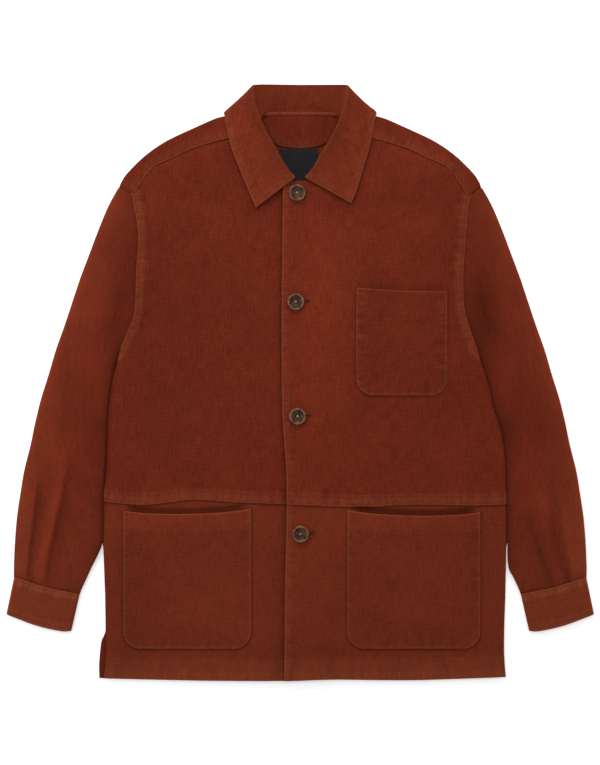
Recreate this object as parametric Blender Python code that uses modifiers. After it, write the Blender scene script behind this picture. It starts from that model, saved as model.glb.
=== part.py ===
"""A rust-brown chore jacket of brushed cotton, buttoned up and laid flat on its back.

Run it in Blender:  blender --background --python part.py

Frame: +Z up, the surface that it lies on at Z = 0, hem towards -Y, collar towards +Y.
The wearer's right side is at -X. Tables and sizes are in millimetres, and new_mesh()
turns a finished piece's points into metres.

The layers, from the surface up: the collar's back half folded under the neck, the back,
the neck facing and the label, the right front, the left front, the pockets and buttons,
and the collar's front half. Every piece is a wall of cloth with its own outline.
"""

import math
from collections import namedtuple

import bmesh
import bpy
from mathutils import Vector

MM = 0.001

# Cloth and sewing
CLOTH = 1.6             # one layer of body cloth with its turnings
COLLAR_CLOTH = 1.5      # the collar, two thin layers sewn together
FACING_CLOTH = 1.2
LABEL_CLOTH = 0.6
CUFF_CLOTH = 2.0
GAP = 0.3               # between two layers that lie on each other
SEAM_GAP = 0.6          # between two pieces sewn edge to edge along a curve
UNDERARM_GAP = 0.8      # more room where the sleeve turns in under the arm
SIDE_CLEARANCE = 1.3    # between a sleeve and the side of the body that it lies beside

# Room between the back and the layer above it
Ramp = namedtuple("Ramp", "start width")
ROOM_BODY = 1.7
ROOM_NECK = 1.4
ROOM_SIDE = 0.5
SIDE_SLOPE = 22.0       # width over which the front comes down to the side seam
SIDE_RAMP = Ramp(58.0, 40.0)        # it does so below the armhole, from this height down
NECK_RAMP_Y = Ramp(196.0, 46.0)     # the room narrows towards the neck, upwards ...
NECK_RAMP_X = Ramp(170.0, 40.0)     # ... and inwards from the shoulders
NECK_LIFT = 2.2         # the back is raised this far over the collar's folded half
LIFT_RAMP_Y = Ramp(222.0, 38.0)
LIFT_RAMP_X = Ramp(136.0, 34.0)

# The waist seam, where the upper front laps over the lower front
SEAM_RAISE = 0.7
SEAM_HEIGHT = 13.0
SEAM_STEP = 4.0         # width over which the lap comes down again

# The front closing
LAP_GAP = 0.65              # between the two fronts
RIGHT_FRONT_EDGE = 16.0     # the right front ends here, under the left front
STEP_START = 30.0           # the left front comes down to the body from here ...
STEP_END = 52.0             # ... to here

# Buttons
BUTTON_RADIUS = 11.5
BUTTON_THICK = 3.4
BUTTON_SHANK = 0.4
HOLE_RADIUS = 1.1
HOLE_SPACING = 2.1

RIGHT, LEFT = -1, 1

# The outline of one front, from the shoulder tip down the armhole and the side to the hem.
# peek: how far the back shows past the front, at the open vent
Edge = namedtuple("Edge", "y right left peek")
ARMHOLE = [
    Edge(262.6, -242.8, 242.3, 0), Edge(254.6, -225.1, 228.6, 0), Edge(235.8, -220.4, 223.5, 0),
    Edge(200.3, -214.8, 220.2, 0), Edge(150.1, -217.6, 216.8, 0), Edge(112.6, -218.6, 216.8, 0),
    Edge(91.1, -220.7, 219.8, 0), Edge(68.3, -228.9, 226.5, 0), Edge(45.6, -240.1, 235.6, 0),
    Edge(24.1, -247.2, 244.3, 0),
]
SIDE = [
    Edge(24.1, -247.2, 244.3, 0), Edge(-5.4, -253.9, 253.7, 0), Edge(-32.2, -257.3, 259.7, 0),
    Edge(-75.0, -258.9, 271.8, 0), Edge(-115.2, -260.6, 275.8, 0), Edge(-155.4, -263.6, 276.4, 0),
    Edge(-218.4, -264.2, 276.4, 0), Edge(-285.4, -261.6, 275.1, 0), Edge(-330.0, -261.0, 273.6, 0),
    Edge(-345.0, -260.4, 273.4, 6), Edge(-360.5, -259.6, 273.4, 9), Edge(-379.2, -260.9, 274.4, 9),
    Edge(-396.0, -264.0, 275.8, 5.5),
]
# The hem, from the wearer's right side to the left
HEM = [(-264.0, -396.0), (-130.0, -399.0), (-21.0, -399.4), (40.0, -397.6), (150.0, -398.4),
       (275.8, -394.2)]
# The waist seam rises a little over each pocket
WAIST = [(-263.6, -157.0), (-206.0, -161.0), (-144.0, -154.5), (-88.0, -157.6), (-19.0, -160.4),
         (76.0, -164.0), (150.0, -161.0), (229.0, -162.0), (276.4, -160.8)]
WAIST_AT_PLACKET = -160.0
HEM_AT_PLACKET = -399.0
# The fold along the top of the shoulder, and the shoulder seam in front of it
SHOULDER = [(242.5, 264.4), (235.2, 277.4), (220.4, 293.5), (202.3, 309.5), (177.6, 325.6),
            (143.4, 341.7), (114.0, 354.4), (98.0, 358.0), (82.0, 359.2), (67.0, 357.4),
            (55.5, 352.0)]
SHOULDER_SEAM = [(201.0, 289.4), (174.2, 303.5), (147.4, 316.2), (120.6, 325.0), (100.5, 330.3),
                 (59.5, 341.0)]
# The neckline: half of the back, and the front from the shoulder seam to the front edge
BACK_NECK = [(55.5, 352.0), (50.4, 357.2), (43.0, 360.3), (31.0, 360.5), (0.0, 360.5)]
FRONT_NECK = [(59.5, 341.0), (58.0, 327.0), (48.5, 312.2), (35.0, 294.4), (21.0, 278.6),
              (9.0, 271.0)]
NECK_BASE = 270.6       # the height of the neckline where the fronts lap over each other ...
NECK_BASE_X = 1.0       # ... from this far beside the middle
# The edge of the left front, down the middle
PLACKET = [(-22.4, 270.6), (-23.0, 255.0), (-24.7, 111.2), (-24.0, -32.2), (-20.6, -88.4),
           (-18.2, -128.6), (-18.2, -188.9), (-20.0, -255.9), (-20.6, -321.6), (-21.3, -399.2)]

# How a front's and the back's edges are divided
ARMHOLE_SHARES = (0.0, 0.073, 0.14, 0.22, 0.31, 0.40, 0.49, 0.58, 0.67, 0.75, 0.83, 0.91, 1.0)
SHOULDER_COLUMNS = 8
NECK_COLUMNS = 6
SHOULDER_SHARE = 0.66       # the share of a front's width that lies under its shoulder seam
SIDE_ROWS_UPPER = 5
SIDE_ROWS_BACK = 9
LOWER_ROWS = 6
FOLD_TURNS = (45.0, 90.0, 135.0, 180.0)     # steps round the shoulder's fold, in degrees
FOLD_REACH = 4.0            # the fold is as deep as the layers are this far below its edge
YOKE_SHARES = (0.5, 1.0)    # steps from the fold to the shoulder seam

# The sleeve's outer edge from the shoulder tip to the cuff, and its inner edge below the body
SLEEVE_OUTER = [(243.4, 262.6), (257.3, 237.2), (270.7, 205.0), (282.7, 172.9), (294.8, 140.7),
                (305.5, 108.5), (316.2, 76.4), (327.6, 44.2), (337.0, 12.1), (347.1, -20.1),
                (355.1, -52.3), (361.8, -84.4), (369.8, -116.6), (375.2, -148.7),
                (379.9, -180.9), (382.6, -213.1), (384.0, -245.2), (384.0, -261.8)]
SLEEVE_INNER = [(265.2, -219.8), (270.7, -229.1), (278.7, -245.2), (286.1, -261.3),
                (293.5, -277.4), (296.1, -285.2)]
SLEEVE_LEAVES_BODY = -216.0     # below this height the inner edge runs free
SLEEVE_ROWS = 14
ARMHOLE_FADE = 7        # how soon the armhole's curve is lost down the sleeve
SLEEVE_HEIGHT = [(0.0, 4.8), (0.25, 6.2), (0.7, 6.4), (1.0, 5.4)]   # share of length, height
SLEEVE_ROUNDING = 3.0       # width over which a sleeve's edge rounds away
SLEEVE_EDGE_SHARES = (0.06, 0.18, 0.14, 0.05)   # extra columns there, in the end intervals
# Pleats that open from the cuff: the ring column that rises, how far up they reach, height
Pleat = namedtuple("Pleat", "side column reach height")
PLEATS = [Pleat(RIGHT, 4, 0.26, 1.0), Pleat(RIGHT, 8, 0.34, 1.2), Pleat(LEFT, 5, 0.2, 1.1)]

# The cuff's four corners, as half widths: outer and inner end of its seam, then of its edge
CUFF_SEAM = [(384.0, -262.1), (341.0, -276.0), (296.2, -285.5)]
CUFF_EDGE = [(394.0, -310.1), (355.0, -324.6), (322.0, -332.4), (306.9, -332.6)]
CUFF_COLUMNS = 7
CUFF_EDGE_SHARES = (0.01, 0.03, 0.97, 0.99)     # extra columns where the cuff rounds away
CUFF_ROWS = 2
CUFF_HEIGHT = 5.8

# The collar at stations from the middle of the back to its front end. seam: where it is sewn
# to the neck. roll: its top fold. right and left: its outer edge on each side. Half widths.
Station = namedtuple(
    "Station", "seam_x seam_y seam_z roll_x roll_y roll_z right_x right_y left_x left_y edge_z"
)
COLLAR = [
    Station(0.0, 361.8, 3.1, 0.0, 397.6, 2.1, 0.0, 339.0, 0.0, 339.0, 0.8),
    Station(31.0, 361.8, 3.1, 33.8, 397.8, 2.1, 37.8, 339.5, 37.8, 339.5, 0.8),
    Station(42.4, 362.4, 3.8, 50.5, 397.7, 2.2, 64.6, 343.5, 64.6, 343.5, 0.8),
    Station(48.4, 359.4, 5.6, 58.8, 397.4, 2.6, 84.0, 350.5, 84.0, 350.5, 0.8),
    Station(50.6, 356.4, 6.6, 61.6, 397.0, 3.7, 96.0, 357.0, 96.0, 357.0, 0.8),
    Station(52.0, 353.6, 7.3, 63.4, 395.4, 6.2, 101.0, 361.2, 101.0, 361.2, 2.4),
    Station(53.0, 351.0, 7.9, 64.2, 392.8, 9.0, 102.2, 361.6, 102.2, 361.6, 5.4),
    Station(54.4, 347.6, 8.2, 64.0, 388.6, 11.2, 101.4, 357.4, 101.4, 357.4, 8.4),
    Station(56.4, 341.0, 8.3, 61.6, 376.0, 13.8, 98.2, 341.0, 98.2, 341.0, 8.2),
    Station(56.0, 329.0, 8.3, 55.6, 357.0, 14.5, 92.0, 315.0, 93.0, 315.0, 8.2),
    Station(47.6, 313.4, 8.3, 42.4, 330.0, 13.8, 81.5, 287.0, 84.4, 287.0, 8.2),
    Station(34.4, 296.0, 8.8, 28.4, 305.6, 13.0, 71.8, 263.8, 77.9, 264.0, 8.2),
    Station(21.2, 281.0, 10.0, 15.6, 284.6, 12.4, 64.4, 246.2, 72.6, 250.0, 8.2),
    Station(13.0, 273.6, 10.1, 7.2, 275.0, 12.0, 59.2, 234.8, 68.3, 240.8, 8.2),
]
ROLL_RADIUS = 1.2
STATION_STEPS = 2       # sections between two stations
STAND_POINTS = 2
ROLL_POINTS = 5
FALL_POINTS = 3

# Patch pockets. mouth: the y of its right and left end (wearer's) and how far it sags
Pocket = namedtuple("Pocket", "name x0 x1 y_at_x0 y_at_x1 bottom radius sag gape")
POCKETS = [
    Pocket("pocket_lower_right", -236.8, -65.9, -170.6, -167.8, -355.8, 22.0, 6.0, 2.4),
    Pocket("pocket_lower_left", 63.4, 241.2, -169.6, -172.4, -355.8, 22.0, 6.5, 2.4),
    Pocket("pocket_chest", 75.4, 197.0, 128.2, 123.4, -16.6, 22.0, 2.0, 1.4),
]
POCKET_GAP = 0.5
POCKET_COLUMNS = 10
POCKET_ROWS = 5
POCKET_CORNER_TURNS = (0.0, 35.0, 62.0, 90.0)   # rows round a lower corner, in degrees
POCKET_OPENS = 0.62     # share of its height from which a pocket stands away from the front

# The neck facing inside the back, a half moon: x, top, bottom
Slice = namedtuple("Slice", "x top bottom")
FACING = [
    Slice(-49.0, 351.5, 345.0), Slice(-45.5, 355.5, 336.0), Slice(-39.0, 358.4, 325.6),
    Slice(-27.0, 359.4, 318.0), Slice(-3.5, 359.4, 314.9), Slice(20.4, 359.4, 317.0),
    Slice(38.3, 358.4, 323.6), Slice(45.5, 355.0, 330.5), Slice(49.0, 351.0, 338.0),
]
LABEL_X = (-28.2, 23.4)
LABEL_Y = (262.0, 313.6)
INNER_ROWS = 3          # rows of faces on the facing and on the label

# The buttons' centres, from the neck down
BUTTONS = [(-4.0, 254.6), (-5.8, 108.7), (-3.5, -44.6), (0.5, -202.3)]
# A button's profile from the middle of its dish round its rim to its underside, as shares of
# its radius and of its thickness
BUTTON_PROFILE = [(0.0, 0.52), (0.52, 0.55), (0.70, 0.66), (0.82, 1.0), (0.93, 0.96), (1.0, 0.66),
                  (0.96, 0.28), (0.72, 0.0), (0.0, 0.0)]
BUTTON_SIDES = 18
HOLES = 4
HOLE_SIDES = 6

# Colours, linear, with each finish's roughness
Finish = namedtuple("Finish", "red green blue roughness")
BODY_CLOTH = Finish(0.150, 0.021, 0.008, 0.9)
COLLAR_FINISH = Finish(0.170, 0.027, 0.011, 0.88)
LABEL_FINISH = Finish(0.012, 0.012, 0.014, 0.6)
HORN = Finish(0.055, 0.026, 0.015, 0.38)


# ---- Lines and patches ----

def smooth(share):
    """Eases a share from 0 to 1, and holds it at the ends."""
    share = min(max(share, 0.0), 1.0)
    return share * share * (3.0 - 2.0 * share)


def smooth_line(points, steps=8):
    """Returns a dense line that runs smoothly through all the points."""
    points = [Vector(point) for point in points]
    ends = [2 * points[0] - points[1]] + points + [2 * points[-1] - points[-2]]
    line = []
    for a, b, c, d in zip(ends, ends[1:], ends[2:], ends[3:]):
        for step in range(steps):
            t = step / steps
            bend = (2 * a - 5 * b + 4 * c - d) * t * t + (3 * b - a - 3 * c + d) * t ** 3
            line.append(0.5 * (2 * b + (c - a) * t + bend))
    line.append(points[-1])
    return line


def shares_of(line):
    """Returns how far along the line each of its points lies, from 0 to 1."""
    lengths = [0.0]
    for a, b in zip(line, line[1:]):
        lengths.append(lengths[-1] + (b - a).length)
    return [length / lengths[-1] for length in lengths]


def divide(line, shares):
    """Returns the points at the given shares of the line's length."""
    known = shares_of(line)
    points = []
    for share in shares:
        k = 1
        while k < len(line) - 1 and known[k] < share:
            k += 1
        part = (share - known[k - 1]) / max(known[k] - known[k - 1], 1e-9)
        points.append(line[k - 1].lerp(line[k], min(max(part, 0.0), 1.0)))
    return points


def even(count):
    """Returns count + 1 shares, evenly spaced from 0 to 1."""
    return [k / count for k in range(count + 1)]


def at_height(rows, y, column):
    """Returns the x of an outline's table at a height."""
    for upper, lower in zip(rows, rows[1:]):
        if lower.y <= y <= upper.y:
            part = (upper.y - y) / (upper.y - lower.y)
            return getattr(upper, column) * (1 - part) + getattr(lower, column) * part
    return getattr(rows[-1] if y < rows[-1].y else rows[0], column)


def patch(bottom, top, left, right):
    """Fills the space between four edges with rows of points, bottom row first.

    bottom and top run from left to right, left and right run upwards, and opposite edges
    have the same number of points.
    """
    along_bottom, along_top = shares_of(bottom), shares_of(top)
    up_left, up_right = shares_of(left), shares_of(right)
    rows = []
    for j in range(len(left)):
        row = []
        for i in range(len(bottom)):
            across = along_top[i] - along_bottom[i]
            upward = up_right[j] - up_left[j]
            scale = 1.0 - across * upward
            u = (along_bottom[i] + up_left[j] * across) / scale
            v = (up_left[j] + along_bottom[i] * upward) / scale
            point = bottom[i] * (1 - v) + top[i] * v + left[j] * (1 - u) + right[j] * u
            point -= bottom[0] * (1 - u) * (1 - v) + bottom[-1] * u * (1 - v)
            point -= top[0] * (1 - u) * v + top[-1] * u * v
            row.append(point)
        rows.append(row)
    return rows


# ---- Heights of the layers ----

def above(ramp, value):
    """Returns a share that grows from 0 at the ramp's start as the value rises."""
    return smooth((value - ramp.start) / ramp.width)


def below(ramp, value):
    """Returns a share that grows from 0 at the ramp's start as the value falls."""
    return smooth((ramp.start - value) / ramp.width)


def lift(x, y):
    """Returns how far the back is raised over the part of the collar that is folded under."""
    return NECK_LIFT * above(LIFT_RAMP_Y, y) * below(LIFT_RAMP_X, abs(x))


def room(x, y):
    """Returns the room between the back and the layer above it."""
    near_neck = above(NECK_RAMP_Y, y) * below(NECK_RAMP_X, abs(x))
    inner = ROOM_BODY + (ROOM_NECK - ROOM_BODY) * near_neck
    column = "left" if x > 0 else "right"
    to_side = abs(at_height(SIDE, min(y, SIDE[0].y), column)) - abs(x)
    at_side = ROOM_SIDE + (inner - ROOM_SIDE) * smooth(to_side / SIDE_SLOPE)
    return inner + (at_side - inner) * below(SIDE_RAMP, y)


def shell_top(x, y):
    """Returns the height of the front's outer face."""
    return lift(x, y) + 2 * CLOTH + room(x, y)


def left_front_top(x, y):
    """Returns the height of the left front's outer face, which laps over the right front."""
    over = (CLOTH + LAP_GAP) * smooth((STEP_END - x) / (STEP_END - STEP_START))
    return shell_top(x, y) + over


# ---- Meshes ----

def collection(name):
    """Returns the scene's collection of that name, and makes it where there is none."""
    found = bpy.data.collections.get(name)
    if found is None:
        found = bpy.data.collections.new(name)
        bpy.context.scene.collection.children.link(found)
    return found


def new_mesh(name, points, edges, faces, finish):
    """Makes one object from points in millimetres, with a material of its own."""
    mesh = bpy.data.meshes.new(name)
    mesh.from_pydata([tuple(c * MM for c in point) for point in points], edges, faces)
    mesh.update()
    part = bpy.data.objects.new(name, mesh)
    collection("chore_jacket").objects.link(part)
    material = bpy.data.materials.new(name + "_material")
    material.use_nodes = True
    shader = material.node_tree.nodes["Principled BSDF"]
    shader.inputs["Base Color"].default_value = (finish.red, finish.green, finish.blue, 1.0)
    shader.inputs["Roughness"].default_value = finish.roughness
    shader.inputs["Metallic"].default_value = 0.0
    mesh.materials.append(material)
    return part


def thicken(part, thickness, offset=-1.0):
    """Gives a sheet its wall with Solidify: -1 inwards from the outer face, 0 to both sides."""
    wall = part.modifiers.new("Wall", "SOLIDIFY")
    wall.thickness = thickness * MM
    wall.offset = offset
    wall.use_even_offset = True
    wall.use_quality_normals = True
    part.data.shade_smooth()
    return part


def sheet(name, rows, finish, thickness, offset=-1.0, facing_down=False):
    """Makes a wall of cloth from rows of points. A None leaves that place open."""
    points, number = [], {}
    for j, row in enumerate(rows):
        for i, point in enumerate(row):
            if point is not None:
                number[j, i] = len(points)
                points.append(point)
    faces = []
    for j in range(len(rows) - 1):
        for i in range(len(rows[j]) - 1):
            corners = [(j, i), (j, i + 1), (j + 1, i + 1), (j + 1, i)]
            if all(corner in number for corner in corners):
                face = [number[corner] for corner in corners]
                faces.append(face[::-1] if facing_down else face)
    return thicken(new_mesh(name, points, [], faces, finish), thickness, offset)


def tube(name, side, outer_rings, inner_rings, finish):
    """Makes an open tube of cloth from rings round its outer and inner face.

    The rings run from the tube's one end to the other, and their order mirrors with the side.
    """
    count, length = len(outer_rings[0]), len(outer_rings)
    points = [point for ring in outer_rings + inner_rings for point in ring]
    faces = []
    for i in range(count):
        k = (i + 1) % count
        loop = list(range(length)) + list(range(2 * length - 1, length - 1, -1)) + [0]
        for a, b in zip(loop, loop[1:]):
            faces.append([a * count + i, a * count + k, b * count + k, b * count + i][::side])
    part = new_mesh(name, points, [], faces, finish)
    part.data.shade_smooth()
    return part


# ---- The outline's lines, on either side ----

def armhole_line(side):
    """Returns the armhole from the shoulder tip to the underarm."""
    column = "left" if side == LEFT else "right"
    return smooth_line([(getattr(row, column), row.y) for row in ARMHOLE])


def armhole(side):
    """Returns the armhole's points, which the body and the sleeve share."""
    return divide(armhole_line(side), ARMHOLE_SHARES)


def side_line(side, down_to, peek=False):
    """Returns the side of the body from the underarm down to a height."""
    column = "left" if side == LEFT else "right"
    points = []
    for row in SIDE:
        x = getattr(row, column)
        if peek and side == RIGHT:
            x -= row.peek
        points.append((x, row.y))
    line = smooth_line(points)
    return [point for point in line if point.y >= down_to - 0.01]


def across(line, x0, x1, shares):
    """Returns points of a line that runs across the body, at shares of the way in x."""
    points = []
    for share in shares:
        x = x0 + (x1 - x0) * share
        k = 1
        while k < len(line) - 1 and line[k].x < x:
            k += 1
        part = (x - line[k - 1].x) / (line[k].x - line[k - 1].x)
        points.append(Vector((x, line[k - 1].y + (line[k].y - line[k - 1].y) * part)))
    return points


def shoulder_fold(side):
    """Returns the shoulder's top fold from the armhole to the neck."""
    line = smooth_line([(side * x, y) for x, y in SHOULDER])
    points = divide(line, even(SHOULDER_COLUMNS))
    points[0] = armhole(side)[0]
    return points


def shoulder_seam(side):
    """Returns the shoulder seam from the armhole to the neck."""
    inner = [(side * x, y) for x, y in SHOULDER_SEAM]
    line = smooth_line([armhole(side)[1]] + inner)
    return divide(line, even(SHOULDER_COLUMNS))


def placket_x(y):
    """Returns the x of the left front's edge at a height."""
    line = smooth_line(PLACKET)
    for a, b in zip(line, line[1:]):
        if b.y <= y <= a.y:
            return a.x + (b.x - a.x) * (a.y - y) / (a.y - b.y)
    return line[-1].x


def front_edge(side, top, bottom, rows):
    """Returns the front edge of one front, bottom first."""
    points = []
    for share in even(rows):
        y = bottom + (top - bottom) * share
        points.append(Vector((placket_x(y) if side == LEFT else RIGHT_FRONT_EDGE, y)))
    return points


# ---- Pieces ----

def column_shares():
    """Returns how the waist and hem of a front are divided, from the side to the front edge."""
    outer = [share * SHOULDER_SHARE for share in even(SHOULDER_COLUMNS)]
    inner = [SHOULDER_SHARE + share * (1.0 - SHOULDER_SHARE) for share in even(NECK_COLUMNS)]
    return outer + inner[1:]


def waist_points(side):
    """Returns the waist seam's points of one front, from the side to the front edge."""
    line = smooth_line(WAIST)
    start = line[0].x if side == RIGHT else line[-1].x
    end = placket_x(WAIST_AT_PLACKET) if side == LEFT else RIGHT_FRONT_EDGE
    return across(line, start, end, column_shares())


def front_height(side, point):
    """Returns a front's point with its height."""
    top = left_front_top if side == LEFT else shell_top
    return Vector((point.x, point.y, top(point.x, point.y)))


def front_upper(side, name):
    """Makes the upper front, from the shoulder seam and neckline to the waist seam."""
    seam = shoulder_seam(side)
    gap = Vector((0.0, -SEAM_GAP))
    end_x = placket_x(NECK_BASE) if side == LEFT else RIGHT_FRONT_EDGE
    neck = [(side * x, y) for x, y in FRONT_NECK]
    neck += [(side * NECK_BASE_X, NECK_BASE), (end_x, NECK_BASE)]
    neck_points = divide(smooth_line(neck), even(NECK_COLUMNS))
    top = [point + gap for point in seam] + [point + gap for point in neck_points[1:]]
    bottom = waist_points(side)
    side_points = divide(side_line(side, bottom[0].y), even(SIDE_ROWS_UPPER))
    outer = side_points[::-1] + armhole(side)[::-1][1:-2] + [top[0]]
    outer[0] = bottom[0]
    inner = front_edge(side, top[-1].y, bottom[-1].y, len(outer) - 1)
    grid = patch(bottom, top, outer, inner)
    lap = []
    for height in (SEAM_HEIGHT, SEAM_HEIGHT + SEAM_STEP):
        lap.append([point + Vector((0.0, height)) for point in grid[0]])
    rows = [[front_height(side, point) for point in row] for row in grid[:1] + lap + grid[1:]]
    for point in rows[0] + rows[1]:
        point.z += SEAM_RAISE
    sheet(name, rows, BODY_CLOTH, CLOTH, facing_down=side == LEFT)


def front_lower(side, name):
    """Makes the lower front, from the waist seam to the hem."""
    top = [point + Vector((0.0, -GAP)) for point in waist_points(side)]
    hem = smooth_line(HEM)
    start = hem[0].x if side == RIGHT else hem[-1].x
    end = placket_x(HEM_AT_PLACKET) if side == LEFT else RIGHT_FRONT_EDGE
    bottom = across(hem, start, end, column_shares())
    column = "left" if side == LEFT else "right"
    outer, inner = [], []
    for share in even(LOWER_ROWS):
        y = bottom[0].y + (top[0].y - bottom[0].y) * share
        outer.append(Vector((at_height(SIDE, y, column), y)))
        y = bottom[-1].y + (top[-1].y - bottom[-1].y) * share
        inner.append(Vector((placket_x(y) if side == LEFT else RIGHT_FRONT_EDGE, y)))
    outer[0], outer[-1] = bottom[0], top[0]
    inner[0], inner[-1] = bottom[-1], top[-1]
    rows = patch(bottom, top, outer, inner)
    rows = [[front_height(side, point) for point in row] for row in rows]
    sheet(name, rows, BODY_CLOTH, CLOTH, facing_down=side == LEFT)


def shoulder_arcs(side):
    """Returns, for each column of a shoulder, the centre, way out, radius and base of its fold."""
    fold = shoulder_fold(side)
    arcs = []
    for k, point in enumerate(fold):
        before, after = fold[max(k - 1, 0)], fold[min(k + 1, len(fold) - 1)]
        run = (after - before).normalized()
        out = Vector((side * run.y, -side * run.x))
        if k == 0:
            out = (point - armhole(side)[1]).normalized()
        below_edge = Vector((point.x, point.y - FOLD_REACH))
        radius = (shell_top(*below_edge) - lift(*below_edge)) / 2.0
        centre = point - out * radius
        arcs.append((centre, out, radius, lift(centre.x, centre.y)))
    return arcs


def fold_row(arcs, turn):
    """Returns one row of a shoulder's fold, turned that far round its edge."""
    row = []
    for centre, out, radius, base in arcs:
        spot = centre + out * radius * math.sin(math.radians(turn))
        height = base + radius - radius * math.cos(math.radians(turn))
        row.append(Vector((spot.x, spot.y, height)))
    return row


def yoke_row(side, arcs, share):
    """Returns one row of the strip between a shoulder's fold and its seam in front."""
    row = []
    for (centre, _, _, _), seam in zip(arcs, shoulder_seam(side)):
        spot = centre.lerp(seam, share)
        row.append(Vector((spot.x, spot.y, shell_top(spot.x, spot.y))))
    return row


def back_side(side, bottom, top):
    """Returns the back's edge from the hem up the side and the armhole to the shoulder."""
    below_arm = divide(side_line(side, SIDE[-1].y, peek=True), even(SIDE_ROWS_BACK))[::-1]
    edge = below_arm + armhole(side)[::-1][1:]
    edge[0], edge[-1] = bottom, top
    return edge


def back():
    """Makes the back: flat on the surface, folded over the shoulders to the shoulder seams."""
    hem = smooth_line(HEM)
    right_end = side_line(RIGHT, SIDE[-1].y, peek=True)[-1]
    left_end = side_line(LEFT, SIDE[-1].y, peek=True)[-1]
    columns = 2 * SHOULDER_COLUMNS + NECK_COLUMNS
    bottom = across(hem, right_end.x, left_end.x, even(columns))
    bottom[0].y, bottom[-1].y = right_end.y, hem[-1].y
    right_arcs, left_arcs = shoulder_arcs(RIGHT), shoulder_arcs(LEFT)
    left_neck = divide(smooth_line(BACK_NECK), even(NECK_COLUMNS // 2))
    right_neck = [Vector((-point.x, point.y)) for point in left_neck]
    neck = right_neck + left_neck[::-1][1:]
    top = [arc[0] for arc in right_arcs] + neck[1:-1] + [arc[0] for arc in left_arcs[::-1]]
    sides = back_side(RIGHT, bottom[0], top[0]), back_side(LEFT, bottom[-1], top[-1])
    grid = patch(bottom, top, *sides)
    rows = [[Vector((p.x, p.y, lift(p.x, p.y))) for p in row] for row in grid]
    open_neck = [None] * (NECK_COLUMNS - 1)
    for turn in FOLD_TURNS:
        rows.append(fold_row(right_arcs, turn) + open_neck + fold_row(left_arcs, turn)[::-1])
    for share in YOKE_SHARES:
        right_half = yoke_row(RIGHT, right_arcs, share)
        left_half = yoke_row(LEFT, left_arcs, share)
        rows.append(right_half + open_neck + left_half[::-1])
    sheet("back", rows, BODY_CLOTH, CLOTH, facing_down=True)


def sleeve_height(share):
    """Returns the sleeve's height at a share of its length."""
    for (s0, h0), (s1, h1) in zip(SLEEVE_HEIGHT, SLEEVE_HEIGHT[1:]):
        if share <= s1:
            return h0 + (h1 - h0) * smooth((share - s0) / (s1 - s0))
    return SLEEVE_HEIGHT[-1][1]


def with_ends(points):
    """Returns a line's points with more of them near its ends, where a flat tube rounds away."""
    a, b, c, d = SLEEVE_EDGE_SHARES
    start = [points[0], points[0].lerp(points[1], a), points[0].lerp(points[1], b)]
    end = [points[-1].lerp(points[-2], c), points[-1].lerp(points[-2], d), points[-1]]
    return start + points[1:-1] + end


def sleeve_inner_line(side):
    """Returns the sleeve's inner edge: along the body's side, then free down to the cuff."""
    column = "left" if side == LEFT else "right"
    points = [(getattr(row, column) + side * SIDE_CLEARANCE, row.y) for row in SIDE]
    points = [point for point in points if point[1] > SLEEVE_LEAVES_BODY]
    last = abs(points[-1][0])
    points += [(side * x, y) for x, y in SLEEVE_INNER if x > last + 0.5]
    return smooth_line(points)


def sleeve_grid(side):
    """Returns a sleeve's rows from the armhole to the cuff, each from outer to inner edge."""
    start = with_ends(armhole(side))
    shares = shares_of(start)
    moved = []
    for k, point in enumerate(start):
        run = (start[min(k + 1, len(start) - 1)] - start[max(k - 1, 0)]).normalized()
        space = SEAM_GAP + UNDERARM_GAP * shares[k] ** 3
        moved.append(point + Vector((-run.y, run.x)) * side * space)
    end = divide(smooth_line([(side * x, y + SEAM_GAP) for x, y in CUFF_SEAM]), shares)
    outer = divide(smooth_line([(side * x, y) for x, y in SLEEVE_OUTER]), even(SLEEVE_ROWS))
    inner = divide(sleeve_inner_line(side), even(SLEEVE_ROWS))
    outer[0], outer[-1], inner[0], inner[-1] = moved[0], end[0], moved[-1], end[-1]
    rows = []
    for j, down in enumerate(even(SLEEVE_ROWS)):
        row = []
        for k, share in enumerate(shares):
            armhole_bend = moved[k] - moved[0].lerp(moved[-1], share)
            cuff_bend = end[k] - end[0].lerp(end[-1], share)
            point = outer[j].lerp(inner[j], share)
            point += armhole_bend * (1.0 - down) ** ARMHOLE_FADE + cuff_bend * down ** 3
            row.append(point)
        rows.append(row)
    return rows


def ring_of(row, height, wall=0.0, raised=None):
    """Returns a flat ring over a row of points: along its top, then back along its underside.

    wall: how far the ring lies inside the tube's outer face. raised: more height, by column.
    """
    width = sum((b - a).length for a, b in zip(row, row[1:]))
    known = shares_of(row)
    inside = divide(row, [wall / width + share * (1.0 - 2.0 * wall / width) for share in known])
    middle = height / 2.0
    top, under = [], []
    for k, (point, share) in enumerate(zip(inside, known)):
        part = min(min(share, 1.0 - share) * width / SLEEVE_ROUNDING, 1.0)
        swell = (middle - wall) * math.sqrt(max(1.0 - (1.0 - part) ** 2, 0.0))
        more = raised.get(k, 0.0) if raised else 0.0
        top.append(Vector((point.x, point.y, middle + swell + more)))
        under.append(Vector((point.x, point.y, middle - swell)))
    return top + under[-2:0:-1]


def sleeve(side, name):
    """Makes one sleeve, a flattened tube with pleats that open from the cuff."""
    rows = sleeve_grid(side)
    outer_rings, inner_rings = [], []
    for j, row in enumerate(rows):
        share = j / (len(rows) - 1)
        raised = {}
        for pleat in PLEATS:
            if pleat.side == side:
                rise = smooth((share - 1.0 + pleat.reach) / pleat.reach)
                raised[pleat.column] = pleat.height * rise
        outer_rings.append(ring_of(row, sleeve_height(share), 0.0, raised))
        inner_rings.append(ring_of(row, sleeve_height(share), CLOTH, raised))
    tube(name, side, outer_rings, inner_rings, BODY_CLOTH)


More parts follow.
